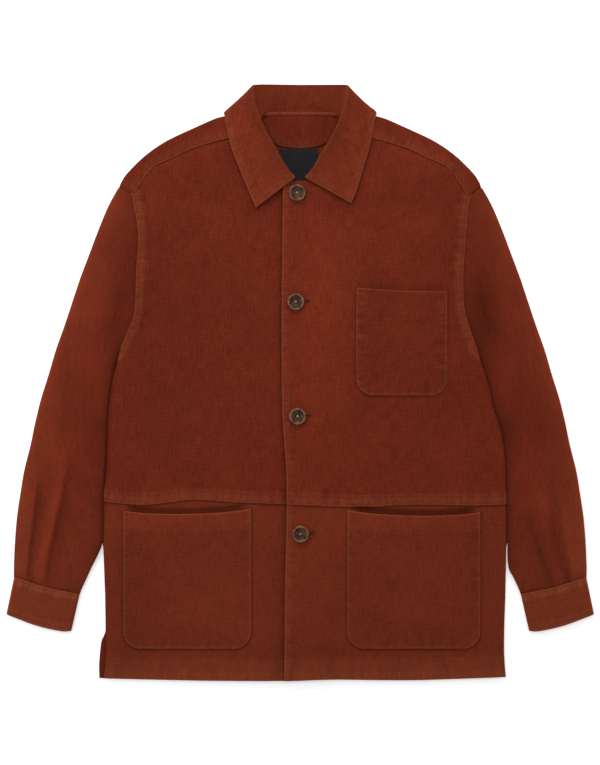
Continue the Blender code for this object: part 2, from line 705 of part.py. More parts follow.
def cuff(side, name):
    """Makes one cuff, a flat band closed round the sleeve's end."""
    shares = sorted(even(CUFF_COLUMNS) + list(CUFF_EDGE_SHARES))
    seam = divide(smooth_line([(side * x, y) for x, y in CUFF_SEAM]), shares)
    edge = divide(smooth_line([(side * x, y) for x, y in CUFF_EDGE]), shares)
    outer_rings, inner_rings = [], []
    for share in even(CUFF_ROWS):
        row = [a.lerp(b, share) for a, b in zip(seam, edge)]
        outer_rings.append(ring_of(row, CUFF_HEIGHT))
        inner_rings.append(ring_of(row, CUFF_HEIGHT, CUFF_CLOTH))
    tube(name, side, outer_rings, inner_rings, BODY_CLOTH)


def collar_section(seam, roll, edge):
    """Returns one section of the collar: up the stand, round the roll and down the fall."""
    into = ((seam - roll).normalized() + (edge - roll).normalized()).normalized()
    across_roll = edge - seam
    across_roll = (across_roll - into * across_roll.dot(into)).normalized()
    centre = roll + into * ROLL_RADIUS
    arc = []
    for k in range(ROLL_POINTS):
        turn = math.pi * k / (ROLL_POINTS - 1)
        side_way = -across_roll * math.cos(turn) * ROLL_RADIUS
        arc.append(centre + side_way - into * math.sin(turn) * ROLL_RADIUS)
    stand = [seam.lerp(arc[0], k / STAND_POINTS) for k in range(STAND_POINTS)]
    fall = [arc[-1].lerp(edge, k / FALL_POINTS) for k in range(1, FALL_POINTS + 1)]
    return stand + arc + fall


def collar():
    """Makes the collar in one piece, folded under behind the neck and over in front."""
    stations = [(RIGHT, row) for row in reversed(COLLAR)] + [(LEFT, row) for row in COLLAR[1:]]
    controls = []
    for side, row in stations:
        edge_x, edge_y = (row.left_x, row.left_y) if side == LEFT else (row.right_x, row.right_y)
        controls.append((
            Vector((side * row.seam_x, row.seam_y, row.seam_z)),
            Vector((side * row.roll_x, row.roll_y, row.roll_z)),
            Vector((side * edge_x, edge_y, row.edge_z)),
        ))
    lines = [smooth_line(column, STATION_STEPS) for column in zip(*controls)]
    rows = [collar_section(*points) for points in zip(*lines)]
    sheet("collar", rows, COLLAR_FINISH, COLLAR_CLOTH, offset=0.0)


def pocket_heights(size, tall):
    """Returns a pocket's rows from the bottom: how far up, and how far the corner draws in."""
    rows = []
    for turn in POCKET_CORNER_TURNS:
        up = size.radius * (1.0 - math.cos(math.radians(turn)))
        rows.append((up, size.radius * (1.0 - math.sin(math.radians(turn)))))
    for share in even(POCKET_ROWS)[1:]:
        rows.append((size.radius + (tall - size.radius) * share, 0.0))
    return rows


def pocket(size):
    """Makes one patch pocket on its front, with its mouth standing open a little."""
    side = LEFT if size.x0 > 0 else RIGHT
    tall = min(size.y_at_x0, size.y_at_x1) - size.sag - size.bottom
    rows = []
    for up, inward in pocket_heights(size, tall):
        opening = smooth((up / tall - POCKET_OPENS) / (1.0 - POCKET_OPENS))
        row = []
        for share in even(POCKET_COLUMNS):
            x = size.x0 + inward + (size.x1 - size.x0 - 2 * inward) * share
            part = (x - size.x0) / (size.x1 - size.x0)
            middle = 4 * part * (1 - part)
            mouth = size.y_at_x0 + (size.y_at_x1 - size.y_at_x0) * part - size.sag * middle
            y = size.bottom + up + (mouth - size.bottom - tall) * (up / tall) ** 3
            point = front_height(side, Vector((x, y)))
            point.z += POCKET_GAP + CLOTH + size.gape * opening * middle
            row.append(point)
        rows.append(row)
    sheet(size.name, rows, BODY_CLOTH, CLOTH)


def neck_facing():
    """Makes the half-moon facing that lies inside the back, under the neck seam."""
    rows = []
    for share in even(INNER_ROWS):
        row = []
        for piece in FACING:
            y = piece.bottom + (piece.top - piece.bottom) * share
            height = lift(piece.x, y) + CLOTH + GAP + FACING_CLOTH
            row.append(Vector((piece.x, y, height)))
        rows.append(row)
    sheet("neck_facing", rows, BODY_CLOTH, FACING_CLOTH)


def label():
    """Makes the bare label below the facing."""
    rows = []
    for up in even(INNER_ROWS):
        y = LABEL_Y[0] + (LABEL_Y[1] - LABEL_Y[0]) * up
        row = []
        for share in even(INNER_ROWS):
            x = LABEL_X[0] + (LABEL_X[1] - LABEL_X[0]) * share
            row.append(Vector((x, y, lift(x, y) + CLOTH + GAP + LABEL_CLOTH)))
        rows.append(row)
    sheet("label", rows, LABEL_FINISH, LABEL_CLOTH)


def button_holes(name):
    """Makes the cutter of a button's holes, six-sided pins that stand in a square."""
    mesh = bpy.data.meshes.new(name)
    pins = bmesh.new()
    for k in range(HOLES):
        angle = 2.0 * math.pi * (k + 0.5) / HOLES
        pin = bmesh.ops.create_cone(
            pins, cap_ends=True, segments=HOLE_SIDES, depth=4.0 * BUTTON_THICK * MM,
            radius1=HOLE_RADIUS * MM, radius2=HOLE_RADIUS * MM,
        )
        move = Vector((math.cos(angle), math.sin(angle), 0.0)) * HOLE_SPACING * MM
        bmesh.ops.translate(pins, verts=pin["verts"], vec=move)
    pins.to_mesh(mesh)
    pins.free()
    cutter = bpy.data.objects.new(name, mesh)
    collection("cutters").objects.link(cutter)
    cutter.hide_render = True
    cutter.display_type = "WIRE"
    return cutter


def button(name, x, y):
    """Makes one four-hole button: a turned disc with a raised rim, and its holes cut through."""
    points = [(r * BUTTON_RADIUS, 0.0, z * BUTTON_THICK) for r, z in BUTTON_PROFILE]
    edges = [(k, k + 1) for k in range(len(points) - 1)]
    part = new_mesh(name, points, edges, [], HORN)
    turn = part.modifiers.new("Turned", "SCREW")
    turn.steps, turn.render_steps = BUTTON_SIDES, BUTTON_SIDES
    turn.use_merge_vertices = True
    turn.merge_threshold = 0.00001
    turn.use_normal_calculate = True
    cut = part.modifiers.new("Holes", "BOOLEAN")
    cut.object = button_holes(name + "_holes")
    spot = Vector((x, y, left_front_top(x, y) + BUTTON_SHANK)) * MM
    part.location = spot
    cut.object.location = spot
    part.data.shade_smooth()


def clear_scene():
    """Removes what the scene starts with."""
    for thing in list(bpy.data.objects):
        bpy.data.objects.remove(thing, do_unlink=True)


def main():
    """Makes every piece of the jacket."""
    clear_scene()
    back()
    for side, word in ((RIGHT, "right"), (LEFT, "left")):
        front_upper(side, "front_upper_" + word)
        front_lower(side, "front_lower_" + word)
        sleeve(side, "sleeve_" + word)
        cuff(side, "cuff_" + word)
    collar()
    neck_facing()
    label()
    for size in POCKETS:
        pocket(size)
    for number, (x, y) in enumerate(BUTTONS, 1):
        button("button_%d" % number, x, y)


main()
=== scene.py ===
"""The looks of a rust-brown chore jacket of brushed cotton, buttoned up and laid flat.

Frame: +Z up, the surface that the jacket lies on at Z = 0, its hem towards -Y, its collar
towards +Y, the wearer's right side at -X. Tables and sizes are in millimetres, and a mesh
is made in metres. Every piece of cloth is a closed shell on the form of its solid.
"""

import logging
import math
from dataclasses import dataclass, field
from enum import Enum
from typing import ClassVar, NamedTuple, Sequence

import bpy
import numpy as np
from mathutils import Matrix, Vector, noise
from mathutils.bvhtree import BVHTree


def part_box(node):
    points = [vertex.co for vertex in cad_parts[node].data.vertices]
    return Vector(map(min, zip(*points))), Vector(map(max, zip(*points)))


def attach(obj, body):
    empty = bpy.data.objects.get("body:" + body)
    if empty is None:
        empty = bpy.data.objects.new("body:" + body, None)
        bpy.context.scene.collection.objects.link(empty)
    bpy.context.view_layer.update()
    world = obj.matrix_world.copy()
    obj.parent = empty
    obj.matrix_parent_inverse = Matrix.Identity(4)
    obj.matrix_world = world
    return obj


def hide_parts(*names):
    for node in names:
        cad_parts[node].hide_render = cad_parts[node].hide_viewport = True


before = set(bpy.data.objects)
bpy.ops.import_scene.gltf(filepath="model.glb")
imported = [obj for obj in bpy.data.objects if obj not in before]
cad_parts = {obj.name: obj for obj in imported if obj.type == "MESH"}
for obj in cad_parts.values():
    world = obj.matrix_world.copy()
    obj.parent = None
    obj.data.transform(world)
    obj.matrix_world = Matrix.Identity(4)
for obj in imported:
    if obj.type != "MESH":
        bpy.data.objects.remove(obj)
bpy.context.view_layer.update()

Array = np.ndarray
Line = Sequence[tuple[float, float]]
Colour = tuple[float, float, float]
LOG = logging.getLogger("jacket")

MM = 0.001
PHOTO_WIDTH, PHOTO_HEIGHT = 600, 765    # the picture's frame, in pixels
MM_PER_PIXEL = 1.34


# Cloth and the heights of its layers, as in the solids
CLOTH = 1.6
WALL = 1.2              # the shells' own thickness, which leaves room for the laps
LAP_GAP = 0.65
NECK_LIFT = 2.2
LIFT_Y = (222.0, 38.0)      # where a ramp starts and how wide it is
LIFT_X = (136.0, 34.0)
ROOM_BODY, ROOM_NECK, ROOM_SIDE = 1.7, 1.4, 0.5
SIDE_SLOPE = 22.0
NECK_Y = (196.0, 46.0)
NECK_X = (170.0, 40.0)
BELOW_ARM = (58.0, 40.0)
STEP_START, STEP_END = 30.0, 52.0
RIGHT_FRONT_EDGE = 16.0
SEAM_AT_ARMHOLE = 0.073     # the shoulder seam's share of the way down the armhole
ROLL_RADIUS = 1.2

# Grids: the spacing on open cloth, and the close lines where it is sewn
STEP = 2.7
EDGE_STEP = 1.5
FINE_STEP = 1.15
FINE_BAND = 14.0
RIM_STEPS = 4
EDGE_POINTS = 90        # the points that an edge is worked out in before it is divided
FAR = 100.0             # farther from a seam than any band reaches
SKY = 80.0              # above everything

# The sizes of threads and of the nap's patches, in metres
THREAD_SIZE = 0.0019
PATCH_SIZE = 0.012


# ---- The pattern: outlines that the pieces share ----

class Side(Enum):
    """The wearer's side, as the sign of X."""

    RIGHT = -1
    LEFT = 1

    @property
    def word(self) -> str:
        """The word that this side's pieces carry in their names."""
        return self.name.lower()


class Edge(NamedTuple):
    """One height of the outline; peek is how far the back shows past the front there."""

    y: float
    right: float
    left: float
    peek: float


class Slice(NamedTuple):
    """One upright of the half-moon facing."""

    x: float
    top: float
    bottom: float


class Station(NamedTuple):
    """One section of the collar: where it is sewn on, its roll and its outer edge."""

    seam_x: float
    seam_y: float
    seam_z: float
    roll_x: float
    roll_y: float
    roll_z: float
    right_x: float
    right_y: float
    left_x: float
    left_y: float
    edge_z: float


class Pocket(NamedTuple):
    """One patch pocket: its sides, its mouth's two ends, and how the mouth sags and gapes."""

    name: str
    x0: float
    x1: float
    y_at_x0: float
    y_at_x1: float
    bottom: float
    radius: float
    sag: float
    gape: float


# The outline of one front from the shoulder tip down the armhole and the side to the hem
ARMHOLE = [
    Edge(262.6, -242.8, 242.3, 0), Edge(254.6, -225.1, 228.6, 0), Edge(235.8, -220.4, 223.5, 0),
    Edge(200.3, -214.8, 220.2, 0), Edge(150.1, -217.6, 216.8, 0), Edge(112.6, -218.6, 216.8, 0),
    Edge(91.1, -220.7, 219.8, 0), Edge(68.3, -228.9, 226.5, 0), Edge(45.6, -240.1, 235.6, 0),
    Edge(24.1, -247.2, 244.3, 0),
]
SIDE = [
    Edge(24.1, -247.2, 244.3, 0), Edge(-5.4, -253.9, 253.7, 0), Edge(-32.2, -257.3, 259.7, 0),
    Edge(-75.0, -258.9, 271.8, 0), Edge(-115.2, -260.6, 275.8, 0), Edge(-155.4, -263.6, 276.4, 0),
    Edge(-218.4, -264.2, 276.4, 0), Edge(-285.4, -261.6, 275.1, 0), Edge(-330.0, -261.0, 273.6, 0),
    Edge(-345.0, -260.4, 273.4, 6), Edge(-360.5, -259.6, 273.4, 9), Edge(-379.2, -260.9, 274.4, 9),
    Edge(-396.0, -264.0, 275.8, 5.5),
]
# The hem, the waist seam, the shoulder's fold and its seam, and the neckline
HEM = [(-264.0, -396.0), (-130.0, -399.0), (-21.0, -399.4), (40.0, -397.6), (150.0, -398.4),
       (275.8, -394.2)]
WAIST = [(-263.6, -157.0), (-206.0, -161.0), (-144.0, -154.5), (-88.0, -157.6), (-19.0, -160.4),
         (76.0, -164.0), (150.0, -161.0), (229.0, -162.0), (276.4, -160.8)]
SHOULDER = [(242.5, 264.4), (235.2, 277.4), (220.4, 293.5), (202.3, 309.5), (177.6, 325.6),
            (143.4, 341.7), (114.0, 354.4), (98.0, 358.0), (82.0, 359.2), (67.0, 357.4),
            (55.5, 352.0)]
SHOULDER_SEAM = [(201.0, 289.4), (174.2, 303.5), (147.4, 316.2), (120.6, 325.0), (100.5, 330.3),
                 (59.5, 341.0)]
BACK_NECK = [(55.5, 352.0), (50.4, 357.2), (43.0, 360.3), (31.0, 360.5), (0.0, 360.5)]
FRONT_NECK = [(59.5, 341.0), (58.0, 327.0), (48.5, 312.2), (35.0, 294.4), (21.0, 278.6),
              (9.0, 271.0)]
NECK_BASE = 270.6
# The edge of the left front, down the middle
PLACKET = [(-22.4, 270.6), (-23.0, 255.0), (-24.7, 111.2), (-24.0, -32.2), (-20.6, -88.4),
           (-18.2, -128.6), (-18.2, -188.9), (-20.0, -255.9), (-20.6, -321.6), (-21.3, -399.2)]
# A sleeve's outer edge, its inner edge below the body, and its cuff
SLEEVE_OUTER = [(243.4, 262.6), (257.3, 237.2), (270.7, 205.0), (282.7, 172.9), (294.8, 140.7),
                (305.5, 108.5), (316.2, 76.4), (327.6, 44.2), (337.0, 12.1), (347.1, -20.1),
                (355.1, -52.3), (361.8, -84.4), (369.8, -116.6), (375.2, -148.7),
                (379.9, -180.9), (382.6, -213.1), (384.0, -245.2), (384.0, -261.8)]
SLEEVE_INNER = [(265.2, -219.8), (270.7, -229.1), (278.7, -245.2), (286.1, -261.3),
                (293.5, -277.4), (296.1, -285.2)]
CUFF_SEAM = [(384.0, -262.1), (341.0, -276.0), (296.2, -285.5)]
CUFF_EDGE = [(394.0, -310.1), (355.0, -324.6), (322.0, -332.4), (306.9, -332.6)]
# The collar from the middle of the back to its front end
COLLAR = [
    Station(0.0, 361.8, 3.1, 0.0, 397.6, 2.1, 0.0, 339.0, 0.0, 339.0, 0.8),
    Station(31.0, 361.8, 3.1, 33.8, 397.8, 2.1, 37.8, 339.5, 37.8, 339.5, 0.8),
    Station(42.4, 362.4, 3.8, 50.5, 397.7, 2.2, 64.6, 343.5, 64.6, 343.5, 0.8),
    Station(48.4, 359.4, 5.6, 58.8, 397.4, 2.6, 84.0, 350.5, 84.0, 350.5, 0.8),
    Station(50.6, 356.4, 6.6, 61.6, 397.0, 3.7, 96.0, 357.0, 96.0, 357.0, 0.8),
    Station(52.0, 353.6, 7.3, 63.4, 395.4, 6.2, 101.0, 361.2, 101.0, 361.2, 2.4),
    Station(53.0, 351.0, 7.9, 64.2, 392.8, 9.0, 102.2, 361.6, 102.2, 361.6, 5.4),
    Station(54.4, 347.6, 8.2, 64.0, 388.6, 11.2, 101.4, 357.4, 101.4, 357.4, 8.4),
    Station(56.4, 341.0, 8.3, 61.6, 376.0, 13.8, 98.2, 341.0, 98.2, 341.0, 8.2),
    Station(56.0, 329.0, 8.3, 55.6, 357.0, 14.5, 92.0, 315.0, 93.0, 315.0, 8.2),
    Station(47.6, 313.4, 8.3, 42.4, 330.0, 13.8, 81.5, 287.0, 84.4, 287.0, 8.2),
    Station(34.4, 296.0, 8.8, 28.4, 305.6, 13.0, 71.8, 263.8, 77.9, 264.0, 8.2),
    Station(21.2, 281.0, 10.0, 15.6, 284.6, 12.4, 64.4, 246.2, 72.6, 250.0, 8.2),
    Station(13.0, 273.6, 10.1, 7.2, 275.0, 12.0, 59.2, 234.8, 68.3, 240.8, 8.2),
]
POCKETS = [
    Pocket("pocket_lower_right", -236.8, -65.9, -170.6, -167.8, -355.8, 22.0, 6.0, 2.4),
    Pocket("pocket_lower_left", 63.4, 241.2, -169.6, -172.4, -355.8, 22.0, 6.5, 2.4),
    Pocket("pocket_chest", 75.4, 197.0, 128.2, 123.4, -16.6, 22.0, 2.0, 1.4),
]
FACING = [
    Slice(-49.0, 351.5, 345.0), Slice(-45.5, 355.5, 336.0), Slice(-39.0, 358.4, 325.6),
    Slice(-27.0, 359.4, 318.0), Slice(-3.5, 359.4, 314.9), Slice(20.4, 359.4, 317.0),
    Slice(38.3, 358.4, 323.6), Slice(45.5, 355.0, 330.5), Slice(49.0, 351.0, 338.0),
]
LABEL_X = (-28.2, 23.4)
LABEL_Y = (262.0, 313.6)


# ---- Lines, patches and soft noise ----

def smooth(share: Array | float) -> Array:
    """Eases a share from 0 to 1 and holds it at the ends."""
    share = np.clip(share, 0.0, 1.0)
    return share * share * (3.0 - 2.0 * share)


def hump(value: Array, middle: float, width: float) -> Array:
    """Returns a soft bell of height 1 round the middle."""
    return np.exp(-((value - middle) / width) ** 2)


def smooth_line(points: Line | Array, steps: int = 10) -> Array:
    """Runs a smooth line through points.

    Args:
        points: the points, in order.
        steps: how many points the line gets between two of them.
    Returns:
        The line's points, one per row.
    """
    known = np.asarray(points, float)
    known = np.vstack([2 * known[0] - known[1], known, 2 * known[-1] - known[-2]])
    a, b, c, d = (known[k:len(known) - 3 + k, None, :] for k in range(4))
    t = (np.arange(steps) / steps)[None, :, None]
    bend = (2 * a - 5 * b + 4 * c - d) * t ** 2 + (3 * b - a - 3 * c + d) * t ** 3
    line = 0.5 * (2 * b + (c - a) * t + bend)
    return np.vstack([line.reshape(-1, known.shape[1]), known[-2]])


def lengths_of(line: Array) -> Array:
    """Returns how far along the line each of its points lies."""
    steps = np.linalg.norm(np.diff(line, axis=0), axis=1)
    return np.concatenate([[0.0], np.cumsum(steps)])


def shares_of(line: Array) -> Array:
    """Returns the same as shares of the line's length."""
    known = lengths_of(line)
    return known / known[-1]


def at_lengths(line: Array, places: Array) -> Array:
    """Returns the line's points at the given lengths along it."""
    known = lengths_of(line)
    return np.stack([np.interp(places, known, column) for column in line.T], axis=-1)


def divide(line: Array, shares: Array) -> Array:
    """Returns the line's points at the given shares of its length."""
    return at_lengths(line, np.asarray(shares) * lengths_of(line)[-1])


def spread(length: float, step: float, fine_start: bool = True, fine_end: bool = True) -> Array:
    """Divides a length with close lines where it is sewn.

    Args:
        length: the length, in mm.
        step: the spacing away from the ends.
        fine_start: whether the start gets close lines.
        fine_end: whether the end does.
    Returns:
        Shares from 0 to 1.
    """
    close = [0.0, EDGE_STEP]
    while close[-1] < FINE_BAND:
        close.append(close[-1] + FINE_STEP)
    start = close if fine_start else [0.0]
    end = close if fine_end else [0.0]
    middle = length - start[-1] - end[-1]
    count = max(int(round(middle / step)), 2)
    inner = start[-1] + middle * np.arange(1, count) / count
    places = np.concatenate([start, inner, length - np.array(end[::-1])])
    return places / length


def patch(bottom: Array, top: Array, left: Array, right: Array) -> Array:
    """Fills the space between four edges.

    Args:
        bottom: the points from left to right along the lower edge.
        top: as many along the upper edge.
        left: the points from bottom to top along the left edge.
        right: as many along the right edge.
    Returns:
        Rows of points, the bottom row first.
    """
    low, high = shares_of(bottom)[None, :], shares_of(top)[None, :]
    rise, climb = shares_of(left)[:, None], shares_of(right)[:, None]
    across, upward = high - low, climb - rise
    scale = 1.0 - across * upward
    u = ((low + rise * across) / scale)[..., None]
    v = ((rise + low * upward) / scale)[..., None]
    filled = bottom[None] * (1 - v) + top[None] * v + left[:, None] * (1 - u)
    filled = filled + right[:, None] * u
    filled = filled - bottom[0] * (1 - u) * (1 - v) - bottom[-1] * u * (1 - v)
    return filled - top[0] * (1 - u) * v - top[-1] * u * v


def nearest(line: Array, x: Array, y: Array) -> tuple[Array, Array, Array]:
    """Measures points against a line.

    Args:
        line: the line's points.
        x: the points' x.
        y: the points' y.
    Returns:
        Each point's distance from the line, its side as a sign, and how far along it is.
    """
    best, along, side = np.full(x.shape, 1e9), np.zeros(x.shape), np.zeros(x.shape)
    known = lengths_of(line)
    for a, b, start in zip(line, line[1:], known):
        run = b - a
        size = math.hypot(*run)
        if size < 1e-9:
            continue
        t = np.clip(((x - a[0]) * run[0] + (y - a[1]) * run[1]) / size ** 2, 0.0, 1.0)
        dx, dy = x - a[0] - run[0] * t, y - a[1] - run[1] * t
        away = np.hypot(dx, dy)
        closer = away < best
        best = np.where(closer, away, best)
        along = np.where(closer, start + size * t, along)
        side = np.where(closer, np.sign(run[0] * dy - run[1] * dx), side)
    return best, side, along


def soft_noise(x: Array, y: Array, cell_x: float, cell_y: float, seed: float) -> Array:
    """Makes smooth noise with bumps of a given size.

    Args:
        x: the places' x, in mm.
        y: their y.
        cell_x: a bump's size across, in mm.
        cell_y: its size along.
        seed: which noise it is.
    Returns:
        The noise at each place, from about -1 to 1.
    """
    flat = zip((x / cell_x).ravel(), (y / cell_y).ravel())
    values = [noise.noise((a, b, seed)) for a, b in flat]
    return np.array(values).reshape(x.shape) * 1.6


def moved(line: Array, distance: float) -> Array:
    """Moves a line sideways.

    Args:
        line: its points.
        distance: how far it goes to its left, in mm.
    Returns:
        The moved line.
    """
    run = np.gradient(line, axis=0)
    run /= np.maximum(np.linalg.norm(run, axis=1, keepdims=True), 1e-9)
    return line + np.stack([-run[:, 1], run[:, 0]], axis=-1) * distance


# ---- The pattern's lines and the heights of the layers ----

def mirrored(side: Side, points: Line) -> list[tuple[float, float]]:
    """Returns points that are given for the left side, on a side."""
    return [(side.value * x, y) for x, y in points]


def armhole_line(side: Side) -> Array:
    """Returns the armhole from the shoulder tip to the underarm."""
    return smooth_line([(getattr(row, side.word), row.y) for row in ARMHOLE])


def side_line(side: Side, down_to: float, peek: bool = False) -> Array:
    """Works out the side of the body.

    Args:
        side: which side.
        down_to: the height at which it ends.
        peek: whether it is the back's side, which shows past the front's.
    Returns:
        The line from the underarm down.
    """
    points = []
    for row in SIDE:
        x = getattr(row, side.word)
        if peek and side is Side.RIGHT:
            x -= row.peek
        points.append((x, row.y))
    line = smooth_line(points)
    return line[line[:, 1] >= down_to - 0.01]


def at_x(line: Array, x: Array | float) -> Array:
    """Returns the y of a line that runs across the body."""
    order = np.argsort(line[:, 0])
    return np.interp(x, line[order, 0], line[order, 1])


def placket_x(y: Array | float) -> Array:
    """Returns the x of the left front's edge at a height."""
    line = smooth_line(PLACKET)[::-1]
    return np.interp(y, line[:, 1], line[:, 0])


def side_x(side: Side, y: Array | float) -> Array:
    """Returns the x of a side of the body at a height."""
    rows = SIDE[::-1]
    return np.interp(y, [row.y for row in rows], [getattr(row, side.word) for row in rows])


def shoulder_fold(side: Side) -> Array:
    """Works out the shoulder's top fold.

    Args:
        side: which side.
    Returns:
        The line from the armhole to the neck.
    """
    line = smooth_line(mirrored(side, SHOULDER))
    line[0] = armhole_line(side)[0]
    return line


def shoulder_seam(side: Side) -> Array:
    """Returns the shoulder seam from the armhole to the neck."""
    start = divide(armhole_line(side), [SEAM_AT_ARMHOLE])[0]
    return smooth_line([tuple(start)] + mirrored(side, SHOULDER_SEAM))


def lift(x: Array, y: Array) -> Array:
    """Returns how far the back is raised over the collar's folded half."""
    return NECK_LIFT * smooth((y - LIFT_Y[0]) / LIFT_Y[1]) * smooth((LIFT_X[0] - abs(x)) / LIFT_X[1])


def room(x: Array, y: Array) -> Array:
    """Works out the room between the back and the layer above it.

    Args:
        x: the places' x.
        y: their y.
    Returns:
        The room at each place, in mm.
    """
    near_neck = smooth((y - NECK_Y[0]) / NECK_Y[1]) * smooth((NECK_X[0] - abs(x)) / NECK_X[1])
    inner = ROOM_BODY + (ROOM_NECK - ROOM_BODY) * near_neck
    low_y = np.minimum(y, SIDE[0].y)
    edge = np.where(x > 0, side_x(Side.LEFT, low_y), -side_x(Side.RIGHT, low_y))
    at_side = ROOM_SIDE + (inner - ROOM_SIDE) * smooth((edge - abs(x)) / SIDE_SLOPE)
    return inner + (at_side - inner) * smooth((BELOW_ARM[0] - y) / BELOW_ARM[1])


def shell_top(x: Array, y: Array) -> Array:
    """Returns the height of the front's outer face."""
    return lift(x, y) + 2 * CLOTH + room(x, y)


def front_top(side: Side, x: Array, y: Array) -> Array:
    """Works out how high one front lies; the left one laps over the right one.

    Args:
        side: the front's side.
        x: the places' x.
        y: their y.
    Returns:
        The height of its outer face at each place.
    """
    if side is Side.RIGHT:
        return shell_top(x, y)
    over = (CLOTH + LAP_GAP) * smooth((STEP_END - x) / (STEP_END - STEP_START))
    return shell_top(x, y) + over


# ---- Reliefs: creases, swells and sewn bands ----

@dataclass(frozen=True)
class Crease:
    """A soft ridge, or a trough where its rise is negative.

    Attributes:
        path: two to five points that it runs through.
        rise: its height.
        width: how wide it is on its left.
        lee: how wide it is on its right.
    """

    path: Line
    rise: float
    width: float
    lee: float

    def height(self, x: Array, y: Array) -> Array:
        """Works out the crease's relief.

        Args:
            x: the places' x.
            y: their y.
        Returns:
            How far it raises each place.
        """
        line = smooth_line(self.path, 6)
        away, side, along = nearest(line, x, y)
        share = along / lengths_of(line)[-1]
        fade = smooth(share / 0.3) * smooth((1.0 - share) / 0.3)
        width = np.where(side > 0, self.width, self.lee)
        return self.rise * fade * np.exp(-(away / width) ** 2)


@dataclass(frozen=True)
class Swell:
    """Uneven, gentle waves over a whole piece."""

    rise: float
    cell_x: float
    cell_y: float
    seed: float

    def height(self, x: Array, y: Array) -> Array:
        """Returns how far the waves raise each point."""
        return self.rise * soft_noise(x, y, self.cell_x, self.cell_y, self.seed)


@dataclass(frozen=True)
class Mound:
    """A round swelling, or a hollow where its rise is negative."""

    x: float
    y: float
    wide: float
    tall: float
    rise: float

    def height(self, x: Array, y: Array) -> Array:
        """Returns how far the mound raises each point."""
        return self.rise * np.exp(-((x - self.x) / self.wide) ** 2 - ((y - self.y) / self.tall) ** 2)


@dataclass(frozen=True)
class Band:
    """A sewn edge or seam: thicker cloth with rows of stitches, drawn up into small puckers.

    Attributes:
        line: the edge or seam.
        rows: how far from the line each row of stitches lies.
        reach: how wide the thick part is.
        rise: how much thicker it is.
        pucker: the height of the puckers.
        seed: where their noise starts.
        left: whether the piece lies on the left of the line.
        lip: 0 where the line is an edge that is rubbed pale, or 3 where it isn't.
        fade: how much the whole band is rubbed.
        spread: how far the puckers run on past it.
    """

    line: Array
    rows: tuple[float, ...]
    reach: float
    rise: float
    pucker: float
    seed: float
    left: bool = True
    lip: float = 0.0
    fade: float = 0.0
    spread: float = 9.0

    def drawn(self, away: Array, along: Array) -> Array:
        """Works out the puckers' relief.

        Args:
            away: each place's distance from the line.
            along: its place along the line.
        Returns:
            The puckers' height at each place.
        """
        waves = soft_noise(along, away, 7.0, 26.0, self.seed)
        waves += 0.5 * soft_noise(along, away, 3.6, 20.0, self.seed + 9.0)
        near = np.exp(-(np.maximum(away - self.reach, 0.0) / self.spread) ** 2)
        return self.pucker * waves * near

    def inside(self, away: Array) -> Array:
        """Returns 1 on the band and 0 off it."""
        return 1.0 - smooth((away - self.reach) / FINE_STEP / 1.6)

    def height(self, away: Array, along: Array) -> Array:
        """Returns how far the band raises points at a distance from its line."""
        groove = sum(hump(away, row, 0.9) for row in self.rows) * 0.22
        return self.rise * self.inside(away) - groove + self.drawn(away, along)

    def tone(self, away: Array, along: Array) -> Array:
        """Returns the painted shade in its rows and on the sides of its puckers, and the painted light on
        their ridges.
        """
        return 0.34 * self.drawn(away, along) - 0.20 * sum(hump(away, row, 0.8) for row in self.rows)

    def row_lines(self) -> list[Array]:
        """Returns the line of each row of stitches."""
        return [moved(self.line, row if self.left else -row) for row in self.rows]


